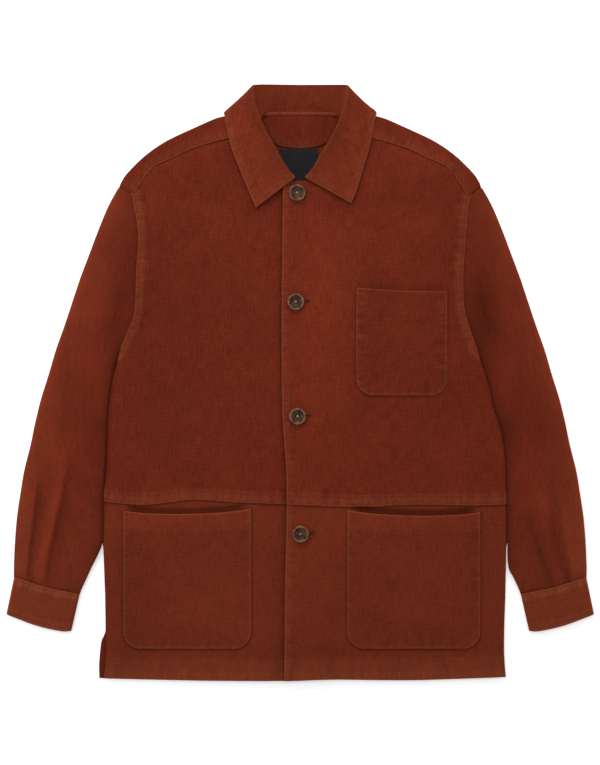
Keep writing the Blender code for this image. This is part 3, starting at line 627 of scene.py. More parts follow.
@dataclass
class Surface:
    """A grid of points on a piece's outer face and what its finish reads there.

    Attributes:
        points: rows x columns x 3, in mm.
        cloth: rows x columns x 2, the place on the flat cloth, in mm.
        seam: rows x columns x 2, along the nearest seam and away from it, in mm.
        worn: rows x columns, from 0 to 1 where the cloth is rubbed pale, and where light is painted on the
            sleeves' outer halves.
        tone: rows x columns, the painted light and shade: below 0 where shade is painted and above 0 where
            light is.
        shown: rows x columns, False where the grid is left open.
    """

    points: Array
    cloth: Array
    seam: Array = field(init=False)
    worn: Array = field(init=False)
    tone: Array = field(init=False)
    shown: Array = field(init=False)

    def __post_init__(self) -> None:
        """Fills the maps with plain cloth."""
        grid = self.points.shape[:2]
        self.seam = np.zeros(grid + (2,))
        self.seam[..., 1] = FAR
        self.worn = np.zeros(grid)
        self.tone = np.zeros(grid)
        self.shown = np.ones(grid, bool)

    @property
    def x(self) -> Array:
        """The points' x."""
        return self.points[..., 0]

    @property
    def y(self) -> Array:
        """The points' y."""
        return self.points[..., 1]

    def raise_by(self, heights: Array) -> None:
        """Moves the points straight up."""
        self.points[..., 2] += heights

    def add(self, reliefs: Sequence[Crease | Swell | Mound]) -> None:
        """Adds creases, swells and mounds, and paints their ridges lighter and their troughs darker as
        light and shade.

        Args:
            reliefs: the reliefs.
        """
        x, y = self.x.copy(), self.y.copy()
        total = np.zeros(x.shape)
        for relief in reliefs:
            total += relief.height(x, y)
        self.raise_by(total)
        # Painted light on the ridges and painted shade in the troughs
        self.tone += np.clip(total * 0.045, -0.12, 0.12)

    def tint(self, spots: Sequence[Mound]) -> None:
        """Paints soft spots of light and shade, whose rises are shares of its tone."""
        for spot in spots:
            self.tone += spot.height(self.x, self.y)

    def shade(self, line: Array, depth: float, reach: float) -> None:
        """Paints shade beside an edge that lies on the piece.

        Args:
            line: the edge.
            depth: how much darker it gets right beside it.
            reach: how far away that has faded.
        """
        away = nearest(line, self.x, self.y)[0]
        self.tone -= depth * np.exp(-away / reach)

    def mark(self, where: Array, along: Array, away: Array) -> None:
        """Keeps the place on a seam of some of the points.

        Args:
            where: which of the points.
            along: how far along the seam each point is.
            away: how far from it.
        """
        self.seam[where] = np.dstack([along, away])[where]

    def sew(self, bands: Sequence[Band]) -> None:
        """Adds sewn bands and keeps, for each point, its place on the nearest one.

        Args:
            bands: the bands.
        """
        x, y = self.x.copy(), self.y.copy()
        for band in bands:
            away, _, along = nearest(band.line, x, y)
            self.raise_by(band.height(away, along))
            # Painted shade in the rows and on the puckers' sides, painted light on their ridges
            self.tone += band.tone(away, along)
            self.worn += band.fade * band.inside(away)
            self.mark(away < self.seam[..., 1], along, away + band.lip)


@dataclass
class Shell:
    """Turns a surface into a closed wall of cloth with rounded edges."""

    surface: Surface
    thickness: float
    closed: bool = False
    flip: bool = False
    centred: bool = False

    def build(self, name: str, material: bpy.types.Material) -> bpy.types.Object:
        """Makes the piece.

        Args:
            name: the object's name.
            material: its finish.
        Returns:
            The object, which is not yet on a body.
        """
        grid = self.surface
        count = grid.points.shape[:2]
        points = grid.points.reshape(-1, 3)
        quads = self.quads(count)
        normals = vertex_normals(points, quads)
        radius = self.thickness / 2
        if self.centred:
            points = points + normals * radius
        inner = points - normals * self.thickness
        edges = open_edges(quads)
        ends = np.unique(edges)
        out = np.zeros(points.shape)
        if len(edges):
            run = points[edges[:, 1]] - points[edges[:, 0]]
            outward = np.cross(run, (normals[edges[:, 0]] + normals[edges[:, 1]]) / 2)
            np.add.at(out, edges[:, 0], outward)
            np.add.at(out, edges[:, 1], outward)
            out[ends] /= np.maximum(np.linalg.norm(out[ends], axis=1, keepdims=True), 1e-9)
        points, inner = points - out * radius, inner - out * radius
        total = len(points)
        rings = [ends]
        stack = [points, inner]
        source = [np.arange(total), np.arange(total)]
        for k in range(1, RIM_STEPS):
            turn = math.pi * k / RIM_STEPS
            middle = (points[ends] + inner[ends]) / 2
            rim = middle + (normals[ends] * math.cos(turn) + out[ends] * math.sin(turn)) * radius
            rings.append(sum(len(part) for part in stack) + np.arange(len(ends)))
            stack.append(rim)
            source.append(ends)
        rings.append(ends + total)
        place = np.searchsorted(ends, edges) if len(edges) else edges
        faces = [quads, quads[:, ::-1] + total]
        for upper, lower in zip(rings, rings[1:]):
            a, b = place[:, 0], place[:, 1]
            faces.append(np.stack([upper[b], upper[a], lower[a], lower[b]], axis=1))
        source = np.concatenate(source)
        flat = np.zeros((len(source), 1))
        maps = {
            "cloth": np.hstack([grid.cloth.reshape(-1, 2)[source] * MM, flat]),
            "seam": np.hstack([grid.seam.reshape(-1, 2)[source] * MM, flat]),
            "worn": grid.worn.ravel()[source],
            "tone": grid.tone.ravel()[source],
        }
        return new_piece(name, np.vstack(stack), np.vstack(faces), material, maps)

    def quads(self, count: tuple[int, int]) -> Array:
        """Lists the outer face's quads, counter-clockwise from outside.

        Args:
            count: the grid's rows and columns.
        Returns:
            The quads' vertices.
        """
        rows, columns = count
        last = columns if self.closed else columns - 1
        j, i = np.meshgrid(np.arange(rows - 1), np.arange(last), indexing="ij")
        k = (i + 1) % columns
        corners = np.stack([j * columns + i, j * columns + k, (j + 1) * columns + k,
                            (j + 1) * columns + i], axis=-1).reshape(-1, 4)
        shown = self.surface.shown.ravel()
        corners = corners[shown[corners].all(axis=1)]
        return corners[:, ::-1] if self.flip else corners


def vertex_normals(points: Array, quads: Array) -> Array:
    """Works out the normals of a mesh.

    Args:
        points: its vertices.
        quads: its faces.
    Returns:
        Each vertex's unit normal, zero where no face uses it.
    """
    a, b, c, d = (points[quads[:, k]] for k in range(4))
    face = np.cross(c - a, d - b)
    normals = np.zeros(points.shape)
    for k in range(4):
        np.add.at(normals, quads[:, k], face)
    return normals / np.maximum(np.linalg.norm(normals, axis=1, keepdims=True), 1e-12)


def open_edges(quads: Array) -> Array:
    """Finds a mesh's border.

    Args:
        quads: its faces.
    Returns:
        The directed edges that only one quad uses.
    """
    edges = np.vstack([quads[:, [k, (k + 1) % 4]] for k in range(4)])
    size = int(quads.max()) + 1
    forward = edges[:, 0].astype(np.int64) * size + edges[:, 1]
    backward = edges[:, 1].astype(np.int64) * size + edges[:, 0]
    return edges[~np.isin(forward, backward)]


def new_piece(name: str, points: Array, faces: Array, material: bpy.types.Material,
              maps: dict[str, Array] | None = None) -> bpy.types.Object:
    """Makes a smooth object from points in mm, without vertices that no face uses.

    Args:
        name: the object's name.
        points: its vertices.
        faces: its quads or triangles.
        material: its finish.
        maps: what the finish reads at each vertex, by name; a row of three or one number.
    Returns:
        The object.
    """
    used, numbers = np.unique(faces.ravel(), return_inverse=True)
    mesh = bpy.data.meshes.new(name)
    mesh.from_pydata((points[used] * MM).tolist(), [], numbers.reshape(faces.shape).tolist())
    mesh.update()
    mesh.shade_smooth()
    mesh.materials.append(material)
    for key, values in (maps or {}).items():
        kind, word = ("FLOAT", "value") if values.ndim == 1 else ("FLOAT_VECTOR", "vector")
        layer = mesh.attributes.new(key, kind, "POINT")
        layer.data.foreach_set(word, values[used].astype(np.float32).ravel())
    made = bpy.data.objects.new(name, mesh)
    bpy.context.scene.collection.objects.link(made)
    return made


# ---- Creases, painted light and shade, dyes and lamps ----

# Extra cloth in the cut: turnings at each side, and their share of the area
TURNING = 10.0
CUT_ALLOWANCE = 1.05

# Creases and swellings, each placed one by one
FRONT_CREASES = {
    Side.RIGHT: (
        Crease(((-120, 208), (-150, 150), (-168, 96)), 0.99, 16, 24),
        Crease(((-205, 96), (-176, 62), (-128, 34)), 1.35, 12, 20),
        Crease(((-212, 62), (-180, 20), (-150, -22)), 0.99, 14, 20),
        Crease(((-96, 160), (-60, 84), (-44, 20)), -0.81, 22, 16),
        Crease(((-60, 196), (-44, 120), (-40, 10), (-46, -110)), 0.99, 12, 18),
        Crease(((-190, -20), (-150, -60), (-90, -84)), 0.81, 18, 24),
        Crease(((-236, -40), (-216, -90), (-206, -140)), 0.9, 12, 16),
        Crease(((-104, -96), (-92, -128), (-88, -152)), 0.72, 8, 10),
        Crease(((-128, 244), (-112, 218), (-100, 180)), 0.9, 8, 12),
        Mound(-150, 10, 50, 70, 0.6),
    ),
    Side.LEFT: (
        Crease(((60, 214), (46, 150), (42, 70), (48, 0)), 1.35, 14, 24),
        Crease(((112, 224), (134, 176), (142, 142)), 0.9, 12, 18),
        Crease(((206, 100), (170, 62), (120, 38)), 0.9, 10, 20),
        Crease(((214, 60), (196, 0), (170, -50)), 1.17, 12, 22),
        Crease(((66, -24), (80, -70), (76, -120)), -1.08, 18, 22),
        Crease(((128, -30), (110, -76), (106, -130)), 0.9, 16, 20),
        Crease(((236, -36), (226, -86), (224, -142)), 0.99, 12, 16),
        Crease(((24, 40), (20, -20), (26, -90)), 0.63, 10, 12),
        Crease(((190, 236), (176, 204), (166, 170)), 0.9, 9, 14),
        Mound(40, 120, 34, 90, 0.5),
    ),
}
LOWER_CREASES = {
    Side.RIGHT: (
        Crease(((-52, -180), (-44, -240), (-46, -320)), 0.72, 10, 16),
        Crease(((-248, -190), (-250, -260), (-244, -340)), 0.81, 8, 8),
        Crease(((-220, -372), (-150, -366), (-70, -372)), 0.54, 6, 10),
    ),
    Side.LEFT: (
        Crease(((36, -186), (44, -250), (38, -330)), 0.9, 12, 14),
        Crease(((256, -190), (262, -260), (256, -340)), 0.81, 7, 8),
        Crease(((80, -370), (160, -366), (240, -370)), 0.54, 6, 10),
    ),
}
SLEEVE_CREASES = {
    Side.RIGHT: (
        Crease(((-350, -100), (-354, -138), (-366, -237), (-369, -262), (-374, -330)), 1.7, 2.6, 14),
        Crease(((-309, -70), (-314, -103), (-322, -151), (-338, -226), (-346, -272), (-352, -340)),
               1.9, 2.8, 16),
        Crease(((-347, -110), (-350, -150), (-361, -237), (-366, -330)), -1.1, 10, 2.6),
        Crease(((-304, -80), (-309, -120), (-317, -160), (-333, -230), (-345, -330)), -1.2, 11, 2.6),
        Crease(((-378, -150), (-380, -200), (-384, -262), (-386, -330)), -0.8, 4, 5),
        Crease(((-286, 60), (-262, 0), (-268, -60)), 0.8, 16, 22),
        Crease(((-250, 190), (-264, 120), (-290, 50)), 0.7, 16, 24),
        Crease(((-330, 30), (-312, -20), (-318, -90)), -0.6, 16, 18),
        Crease(((-232, 150), (-244, 90), (-262, 40)), -0.8, 12, 14),
        Crease(((-345, -30), (-336, -80), (-352, -150)), 0.6, 12, 14),
    ),
    Side.LEFT: (
        Crease(((346, -130), (353.1, -188.9), (367.8, -262), (372, -330)), 1.8, 12, 3.5),
        Crease(((318, -110), (330, -190), (350, -270), (356, -330)), 1.2, 12, 7),
        Crease(((336, -150), (342, -210), (361, -268), (366, -330)), -1.4, 3, 8),
        Crease(((300, -150), (316, -210), (338, -274), (346, -330)), -1.0, 3, 9),
        Crease(((262, 170), (276, 110), (300, 40)), 0.7, 22, 16),
        Crease(((282, 60), (268, 0), (280, -60)), 0.8, 20, 16),
        Crease(((330, 20), (322, -40), (334, -110)), -0.6, 16, 16),
        Crease(((234, 160), (246, 96), (264, 40)), -0.8, 14, 12),
        Crease(((300, -90), (316, -150), (322, -210)), 0.6, 14, 12),
    ),
}
# The one seam of each sleeve, where it shows above the cuff
SLEEVE_SEAMS = {
    Side.RIGHT: [(-262.5, -112.0), (-279.0, -165.5), (-299.1, -215.7), (-316.5, -276.0)],
    Side.LEFT: [(276.5, -108.0), (299.9, -178.2), (329.4, -275.0)],
}
POCKET_CREASES = {
    "pocket_lower_right": (
        Crease(((-226, -196), (-150, -200), (-76, -194)), -0.5, 8, 12),
        Crease(((-200, -250), (-160, -292), (-100, -310)), 0.4, 22, 26),
        Crease(((-214, -200), (-220, -260), (-216, -320)), 0.35, 8, 12),
        Mound(-120, -300, 40, 30, 0.5),
    ),
    "pocket_lower_left": (
        Crease(((74, -197), (150, -203), (230, -199)), -0.5, 8, 12),
        Crease(((90, -210), (120, -236), (180, -250)), 0.5, 14, 22),
        Crease(((110, -330), (160, -312), (214, -322)), 0.45, 16, 20),
        Mound(180, -290, 44, 36, 0.5),
    ),
    "pocket_chest": (
        Crease(((150, 120), (152, 106), (148, 92)), 0.45, 3, 4),
        Crease(((160, 121), (163, 104), (161, 92)), -0.4, 3, 4),
        Crease(((171, 120), (172, 106), (176, 92)), 0.45, 3, 4),
        Crease(((96, 118), (100, 108), (98, 96)), 0.35, 4, 4),
        Crease(((112, 8), (110, -2), (112, -12)), 0.4, 3, 3),
        Crease(((130, 10), (131, -2), (129, -12)), 0.4, 3, 4),
        Crease(((150, 8), (148, -3), (150, -12)), 0.4, 3, 3),
        Crease(((170, 12), (168, 0), (172, -10)), 0.35, 3, 4),
        Mound(138, 46, 34, 34, 0.5),
    ),
}

# Soft spots of painted light and shade on the body and the sleeves
BODY_LIGHT_AND_SHADE = (
    Mound(26, 60, 52, 250, 0.19), Mound(-181, 66, 62, 150, -0.16), Mound(201, 0, 42, 54, -0.13),
    Mound(94, 17, 26, 76, -0.15), Mound(214, 178, 27, 84, -0.12), Mound(160, 312, 66, 26, 0.13),
    Mound(-150, -176, 130, 26, 0.10), Mound(130, -182, 110, 22, 0.09), Mound(-105, -305, 60, 62, 0.12),
    Mound(-236, -285, 32, 116, -0.14), Mound(252, -215, 30, 64, -0.11), Mound(-121, 272, 34, 30, -0.09),
    Mound(-46, -240, 16, 110, -0.05), Mound(60, -300, 20, 90, -0.04),
)
SLEEVE_LIGHT_AND_SHADE = {
    Side.RIGHT: (
        Mound(-222, 172, 34, 104, -0.15), Mound(-364, -232, 24, 70, -0.17),
        Mound(-304, -205, 24, 100, 0.08), Mound(-346, 60, 26, 130, 0.10),
    ),
    Side.LEFT: (
        Mound(252, 105, 32, 130, -0.22), Mound(330, -235, 44, 66, -0.10),
        Mound(330, 30, 22, 120, 0.08),
    ),
}

# Dyes, as the linear base, deep and rubbed colours of each finish
RUST = ((0.156, 0.0222, 0.0080), (0.073, 0.0080, 0.0031), (0.215, 0.050, 0.0195))
RUST_COLLAR = ((0.190, 0.0300, 0.0108), (0.062, 0.0066, 0.0026), (0.240, 0.058, 0.023))
RUST_POCKET = ((0.158, 0.0235, 0.0086), (0.072, 0.0082, 0.0032), (0.225, 0.053, 0.021))
TABLE = (0.90, 0.90, 0.90)

# Lamps: name, place, size and power; and the light of the air
LAMPS = (
    ("overhead", (-0.3, 0.5, 2.2), (1.2, 1.2), 12.0),
    ("from_the_collar", (-0.3, 1.5, 0.8), (1.4, 0.5), 22.0),
    ("from_the_right", (-1.2, -0.1, 0.5), (1.2, 0.4), 7.0),
    ("from_the_left", (1.2, -0.1, 0.5), (1.2, 0.4), 5.0),
)
AIR = 0.36


# ---- Sewing thread ----

@dataclass
class Thread:
    """Rows of lock stitches on one piece, gathered into one mesh.

    Attributes:
        stitch: the length of a stitch.
        space: the gap to the next one.
        radius: half the thread's thickness.
    """

    stitch: float = 2.9
    space: float = 0.8
    radius: float = 0.33
    spots: list[tuple[Vector, Vector, Vector, float]] = field(default_factory=list)

    def lay(self, start: Vector, end: Vector, normal: Vector, radius: float = 0.0) -> None:
        """Adds one stitch.

        Args:
            start: where the thread comes out of the cloth.
            end: where it goes in again.
            normal: the way out of the cloth.
            radius: the thread's radius, or 0 for this thread's own.
        """
        self.spots.append((start, end, normal, radius or self.radius))

    def across(self, skin: BVHTree, start: tuple[float, float], end: tuple[float, float],
               radius: float) -> None:
        """Adds one stitch between two points in x and y, where both are on the piece.

        Args:
            skin: the piece's faces.
            start: where it starts.
            end: where it ends.
            radius: half its thickness.
        """
        near, far = dropped(skin, start), dropped(skin, end)
        if near and far:
            self.lay(near[0], far[0], near[1], radius)

    def row(self, line: Array, skin: BVHTree) -> None:
        """Sews one row along a line on a piece.

        Args:
            line: the row, as points in x and y.
            skin: the piece's faces.
        """
        length = lengths_of(line)[-1]
        pitch = self.stitch + self.space
        starts = np.arange(self.space, length - self.stitch, pitch)
        ends = [dropped(skin, point) for point in at_lengths(line, starts + self.stitch)]
        firsts = [dropped(skin, point) for point in at_lengths(line, starts)]
        for first, last in zip(firsts, ends):
            if first and last and abs(first[0].z - last[0].z) < self.stitch:
                self.lay(first[0], last[0], first[1])

    def build(self, name: str, material: bpy.types.Material) -> bpy.types.Object:
        """Makes all the stitches into one object.

        Args:
            name: the object's name.
            material: its finish.
        Returns:
            The object.
        """
        points, faces = [], []
        for start, end, normal, radius in self.spots:
            run = (end - start).normalized()
            side = run.cross(normal).normalized()
            number = len(points)
            points.append(start - normal * radius * 0.5)
            for share in (0.22, 0.78):
                middle = start.lerp(end, share) + normal * radius * 0.6
                for across, up in ((1.0, 0.0), (0.0, 1.0), (-1.0, 0.0), (0.0, -1.0)):
                    points.append(middle + side * across * radius + normal * up * radius)
            points.append(end - normal * radius * 0.5)
            for k in range(4):
                a, b = number + 1 + k, number + 1 + (k + 1) % 4
                faces += [(number, b, a), (a, b, b + 4), (a, b + 4, a + 4), (a + 4, b + 4, number + 9)]
        return new_piece(name, np.array(points, float), np.array(faces), material)


def dropped(skin: BVHTree, point: Array) -> tuple[Vector, Vector] | None:
    """Finds the place on a piece's upper face at a point in x and y.

    Args:
        skin: the piece's faces, in mm.
        point: the x and y.
    Returns:
        The place and the way out of the face, or None off the piece.
    """
    place, normal, _, _ = skin.ray_cast(Vector((point[0], point[1], SKY)), Vector((0.0, 0.0, -1.0)))
    return None if place is None else (place, normal)


def skin_of(piece: bpy.types.Object) -> BVHTree:
    """Gets a piece's faces in mm, for finding places on it.

    Args:
        piece: the piece.
    Returns:
        Its faces as a tree.
    """
    mesh = piece.data
    points = [vertex.co / MM for vertex in mesh.vertices]
    return BVHTree.FromPolygons(points, [face.vertices[:] for face in mesh.polygons])


# ---- Finishes ----

class Graph:
    """A small helper that fills a node tree."""

    def __init__(self, tree: bpy.types.NodeTree) -> None:
        """Keeps the tree."""
        self.tree = tree

    def node(self, kind: str, **values: object) -> bpy.types.Node:
        """Adds a node and sets its properties.

        Args:
            kind: the node's type.
            values: its properties.
        Returns:
            The node.
        """
        made = self.tree.nodes.new(kind)
        for key, value in values.items():
            setattr(made, key, value)
        return made

    def put(self, socket: bpy.types.NodeSocket, value: object) -> None:
        """Links an output to a socket, or sets the socket to a plain value.

        Args:
            socket: the input.
            value: an output, or a plain value.
        """
        if isinstance(value, bpy.types.NodeSocket):
            self.tree.links.new(value, socket)
        else:
            socket.default_value = value

    def math(self, operation: str, a: object, b: object = 0.0,
             c: object = 0.0) -> bpy.types.NodeSocket:
        """Adds a Math node.

        Args:
            operation: its operation.
            a: its first value.
            b: its second value.
            c: its third value.
        Returns:
            Its output.
        """
        made = self.node("ShaderNodeMath", operation=operation)
        for socket, value in zip(made.inputs, (a, b, c)):
            self.put(socket, value)
        return made.outputs[0]

    def times(self, a: object, b: object) -> bpy.types.NodeSocket:
        """Multiplies two values."""
        return self.math("MULTIPLY", a, b)

    def total(self, *parts: tuple[object, float]) -> bpy.types.NodeSocket:
        """Adds up values, each with its own weight.

        Args:
            parts: pairs of a value and its weight.
        Returns:
            The sum.
        """
        weighed = [value if weight == 1.0 else self.times(value, weight) for value, weight in parts]
        made = weighed[0]
        for value in weighed[1:]:
            made = self.math("ADD", made, value)
        return made

    def scaled(self, vector: object, factors: Colour) -> bpy.types.NodeSocket:
        """Multiplies a vector by three factors.

        Args:
            vector: the vector.
            factors: the three factors.
        Returns:
            The scaled vector.
        """
        made = self.node("ShaderNodeVectorMath", operation="MULTIPLY")
        self.put(made.inputs[0], vector)
        self.put(made.inputs[1], factors)
        return made.outputs[0]

    def noise(self, vector: object, scale: object, detail: float = 2.0) -> bpy.types.NodeSocket:
        """Adds a noise texture.

        Args:
            vector: the places.
            scale: its scale.
            detail: how many finer layers it has.
        Returns:
            Its factor.
        """
        made = self.node("ShaderNodeTexNoise")
        self.put(made.inputs["Vector"], vector)
        self.put(made.inputs["Scale"], scale)
        self.put(made.inputs["Detail"], detail)
        return made.outputs["Fac"]

    def ramp(self, value: object, low: float, high: float, a: float = 0.0,
             b: float = 1.0) -> bpy.types.NodeSocket:
        """Maps a value from one range to another, softly and held at the ends.

        Args:
            value: the value.
            low: the start of its range.
            high: the end of its range.
            a: what the start becomes.
            b: what the end becomes.
        Returns:
            The mapped value.
        """
        made = self.node("ShaderNodeMapRange", interpolation_type="SMOOTHSTEP")
        for key, number in (("Value", value), ("From Min", low), ("From Max", high),
                            ("To Min", a), ("To Max", b)):
            self.put(made.inputs[key], number)
        return made.outputs["Result"]

    def mix(self, share: object, a: object, b: object) -> bpy.types.NodeSocket:
        """Mixes two colours.

        Args:
            share: how much of the second one.
            a: the first colour.
            b: the second colour.
        Returns:
            The mixed colour.
        """
        made = self.node("ShaderNodeMix", data_type="RGBA", clamp_factor=True)
        self.put(made.inputs["Factor"], share)
        self.put(made.inputs[6], a)
        self.put(made.inputs[7], b)
        return made.outputs[2]

    def dimmed(self, colour: object, factor: object) -> bpy.types.NodeSocket:
        """Multiplies a colour by a factor.

        Args:
            colour: the colour.
            factor: the factor.
        Returns:
            The dimmed colour.
        """
        made = self.node("ShaderNodeVectorMath", operation="SCALE")
        self.put(made.inputs["Vector"], colour)
        self.put(made.inputs["Scale"], factor)
        return made.outputs[0]

    def read(self, name: str, output: str = "Fac") -> bpy.types.NodeSocket:
        """Reads one of the piece's maps."""
        return self.node("ShaderNodeAttribute", attribute_name=name).outputs[output]

    def bump(self, height: object, strength: float, distance: float) -> bpy.types.NodeSocket:
        """Turns heights into a relief.

        Args:
            height: the heights.
            strength: how strong it is.
            distance: how deep it is, in metres.
        Returns:
            The normal.
        """
        made = self.node("ShaderNodeBump")
        for key, value in (("Strength", strength), ("Distance", distance), ("Height", height)):
            self.put(made.inputs[key], value)
        return made.outputs["Normal"]

    def group(self, tree: bpy.types.NodeTree, **values: object) -> bpy.types.Node:
        """Places a node group with its own values; a name's underscores stand for spaces.

        Args:
            tree: the node group.
            values: its inputs.
        Returns:
            The node.
        """
        made = self.node("ShaderNodeGroup", node_tree=tree)
        for key, value in values.items():
            self.put(made.inputs[key.replace("_", " ")], value)
        return made


def new_group(name: str, inputs: dict[str, str], outputs: Sequence[str]) -> tuple[Graph, dict, dict]:
    """Starts a shader node group with named sockets.

    Args:
        name: the group's name.
        inputs: its inputs' names and whether each is a Float, Vector or Color.
        outputs: the names of its outputs, all Float.
    Returns:
        The graph, the inputs to read and the outputs to fill.
    """
    tree = bpy.data.node_groups.new(name, "ShaderNodeTree")
    for key, kind in inputs.items():
        tree.interface.new_socket(key, in_out="INPUT", socket_type="NodeSocket" + kind)
    for key in outputs:
        tree.interface.new_socket(key, in_out="OUTPUT", socket_type="NodeSocketFloat")
    graph = Graph(tree)
    start, end = graph.node("NodeGroupInput"), graph.node("NodeGroupOutput")
    return graph, {s.name: s for s in start.outputs}, {s.name: s for s in end.inputs}


def weave_group() -> bpy.types.NodeTree:
    """Makes the weave: warp streaks along the cloth, weft slubs across it, and a fine grain.

    Returns:
        The node group.
    """
    graph, given, wanted = new_group(
        "brushed_weave", {"Place": "Vector", "Thread": "Float"}, ["Grain", "Streaks", "Height"])
    size = graph.math("DIVIDE", 1.0, given["Thread"])
    warp = graph.noise(graph.scaled(given["Place"], (1.0, 0.11, 1.0)), size, 3.0)
    weft = graph.noise(graph.scaled(given["Place"], (0.13, 1.0, 1.0)), size, 3.0)
    grain = graph.noise(given["Place"], graph.times(size, 1.15), 1.0)
    streaks = graph.total((warp, 0.58), (weft, 0.42))
    graph.put(wanted["Grain"], grain)
    graph.put(wanted["Streaks"], streaks)
    graph.put(wanted["Height"], graph.total((streaks, 1.0), (grain, 0.6)))
    return graph.tree


def nap_group() -> bpy.types.NodeTree:
    """Makes the nap: brushed patches that lie a little differently, in three sizes.

    Returns:
        The node group.
    """
    graph, given, wanted = new_group(
        "brushed_nap", {"Place": "Vector", "Patch": "Float"}, ["Mottle", "Fleck"])
    size = graph.math("DIVIDE", 1.0, given["Patch"])
    broad = graph.noise(given["Place"], graph.times(size, 0.32), 2.0)
    middle = graph.noise(graph.scaled(given["Place"], (1.0, 0.6, 1.0)), size, 3.0)
    graph.put(wanted["Mottle"], graph.total((broad, 0.5), (middle, 0.5)))
    graph.put(wanted["Fleck"], graph.noise(given["Place"], graph.times(size, 7.0), 2.0))
    return graph.tree


def wear_group() -> bpy.types.NodeTree:
    """Makes the wear: seams rubbed pale on the ridges of their puckers, and folds that are; its Worn input
    also brings the light painted on the sleeves.

    Returns:
        The node group.
    """
    graph, given, wanted = new_group(
        "seam_wear",
        {"Seam": "Vector", "Reach": "Float", "Worn": "Float", "Grain": "Float"},
        ["Mask", "Height"])
    parts = graph.node("ShaderNodeSeparateXYZ")
    graph.put(parts.inputs[0], given["Seam"])
    ticks = graph.noise(graph.scaled(given["Seam"], (1.0, 0.16, 1.0)), 560.0, 2.0)
    near = graph.ramp(graph.math("DIVIDE", parts.outputs["Y"], given["Reach"]), 0.75, 1.25, 1.0, 0.0)
    lip = graph.ramp(parts.outputs["Y"], 0.0006, 0.0030, 1.0, 0.0)
    drawn = graph.times(near, graph.ramp(ticks, 0.40, 0.68, 0.15, 1.0))
    rubbed = graph.math("MAXIMUM", graph.times(lip, 0.9), graph.times(drawn, 0.5))
    total = graph.math("ADD", rubbed, given["Worn"])
    speckled = graph.times(total, graph.ramp(given["Grain"], 0.25, 0.65, 0.55, 1.1))
    graph.put(wanted["Mask"], graph.math("MINIMUM", speckled, 1.0))
    graph.put(wanted["Height"], graph.times(near, ticks))
    return graph.tree


def horn_group() -> bpy.types.NodeTree:
    """Makes horn: clouds and fibres of darker and paler matter.

    Returns:
        The node group.
    """
    graph, given, wanted = new_group("horn_clouds", {"Place": "Vector", "Size": "Float"},
                                     ["Cloud", "Fibre"])
    size = graph.math("DIVIDE", 1.0, given["Size"])
    graph.put(wanted["Cloud"], graph.noise(given["Place"], size, 4.0))
    graph.put(wanted["Fibre"], graph.noise(graph.scaled(given["Place"], (1.0, 0.16, 1.0)),
                                           graph.times(size, 5.0), 2.0))
    return graph.tree


class Effects:
    """The node groups, built once and shared by the finishes."""

    def __init__(self) -> None:
        """Builds the groups."""
        self.weave = weave_group()
        self.nap = nap_group()
        self.wear = wear_group()
        self.horn = horn_group()


def start_material(name: str) -> tuple[Graph, bpy.types.Node]:
    """Starts a material.

    Args:
        name: its name.
    Returns:
        Its graph and its Principled BSDF.
    """
    material = bpy.data.materials.new(name)
    material.use_nodes = True
    return Graph(material.node_tree), material.node_tree.nodes["Principled BSDF"]


def dress(name: str, graph: Graph, shader: bpy.types.Node, colour: object, rough: object,
          relief: object = None, **plain: object) -> bpy.types.Material:
    """Fills the sockets that every finish has.

    Args:
        name: the material's name.
        graph: its graph.
        shader: its Principled BSDF.
        colour: what feeds its colour.
        rough: what feeds its roughness.
        relief: what feeds its normal, if anything does.
        plain: plain values for other sockets; an underscore stands for a space.
    Returns:
        The material.
    """
    graph.put(shader.inputs["Base Color"], colour)
    graph.put(shader.inputs["Roughness"], rough)
    if relief:
        graph.put(shader.inputs["Normal"], relief)
    for key, value in plain.items():
        shader.inputs[key.replace("_", " ")].default_value = value
    return bpy.data.materials[name]


def opaque(colour: Colour) -> tuple[float, ...]:
    """Returns a colour with its alpha of 1."""
    return colour + (1.0,)


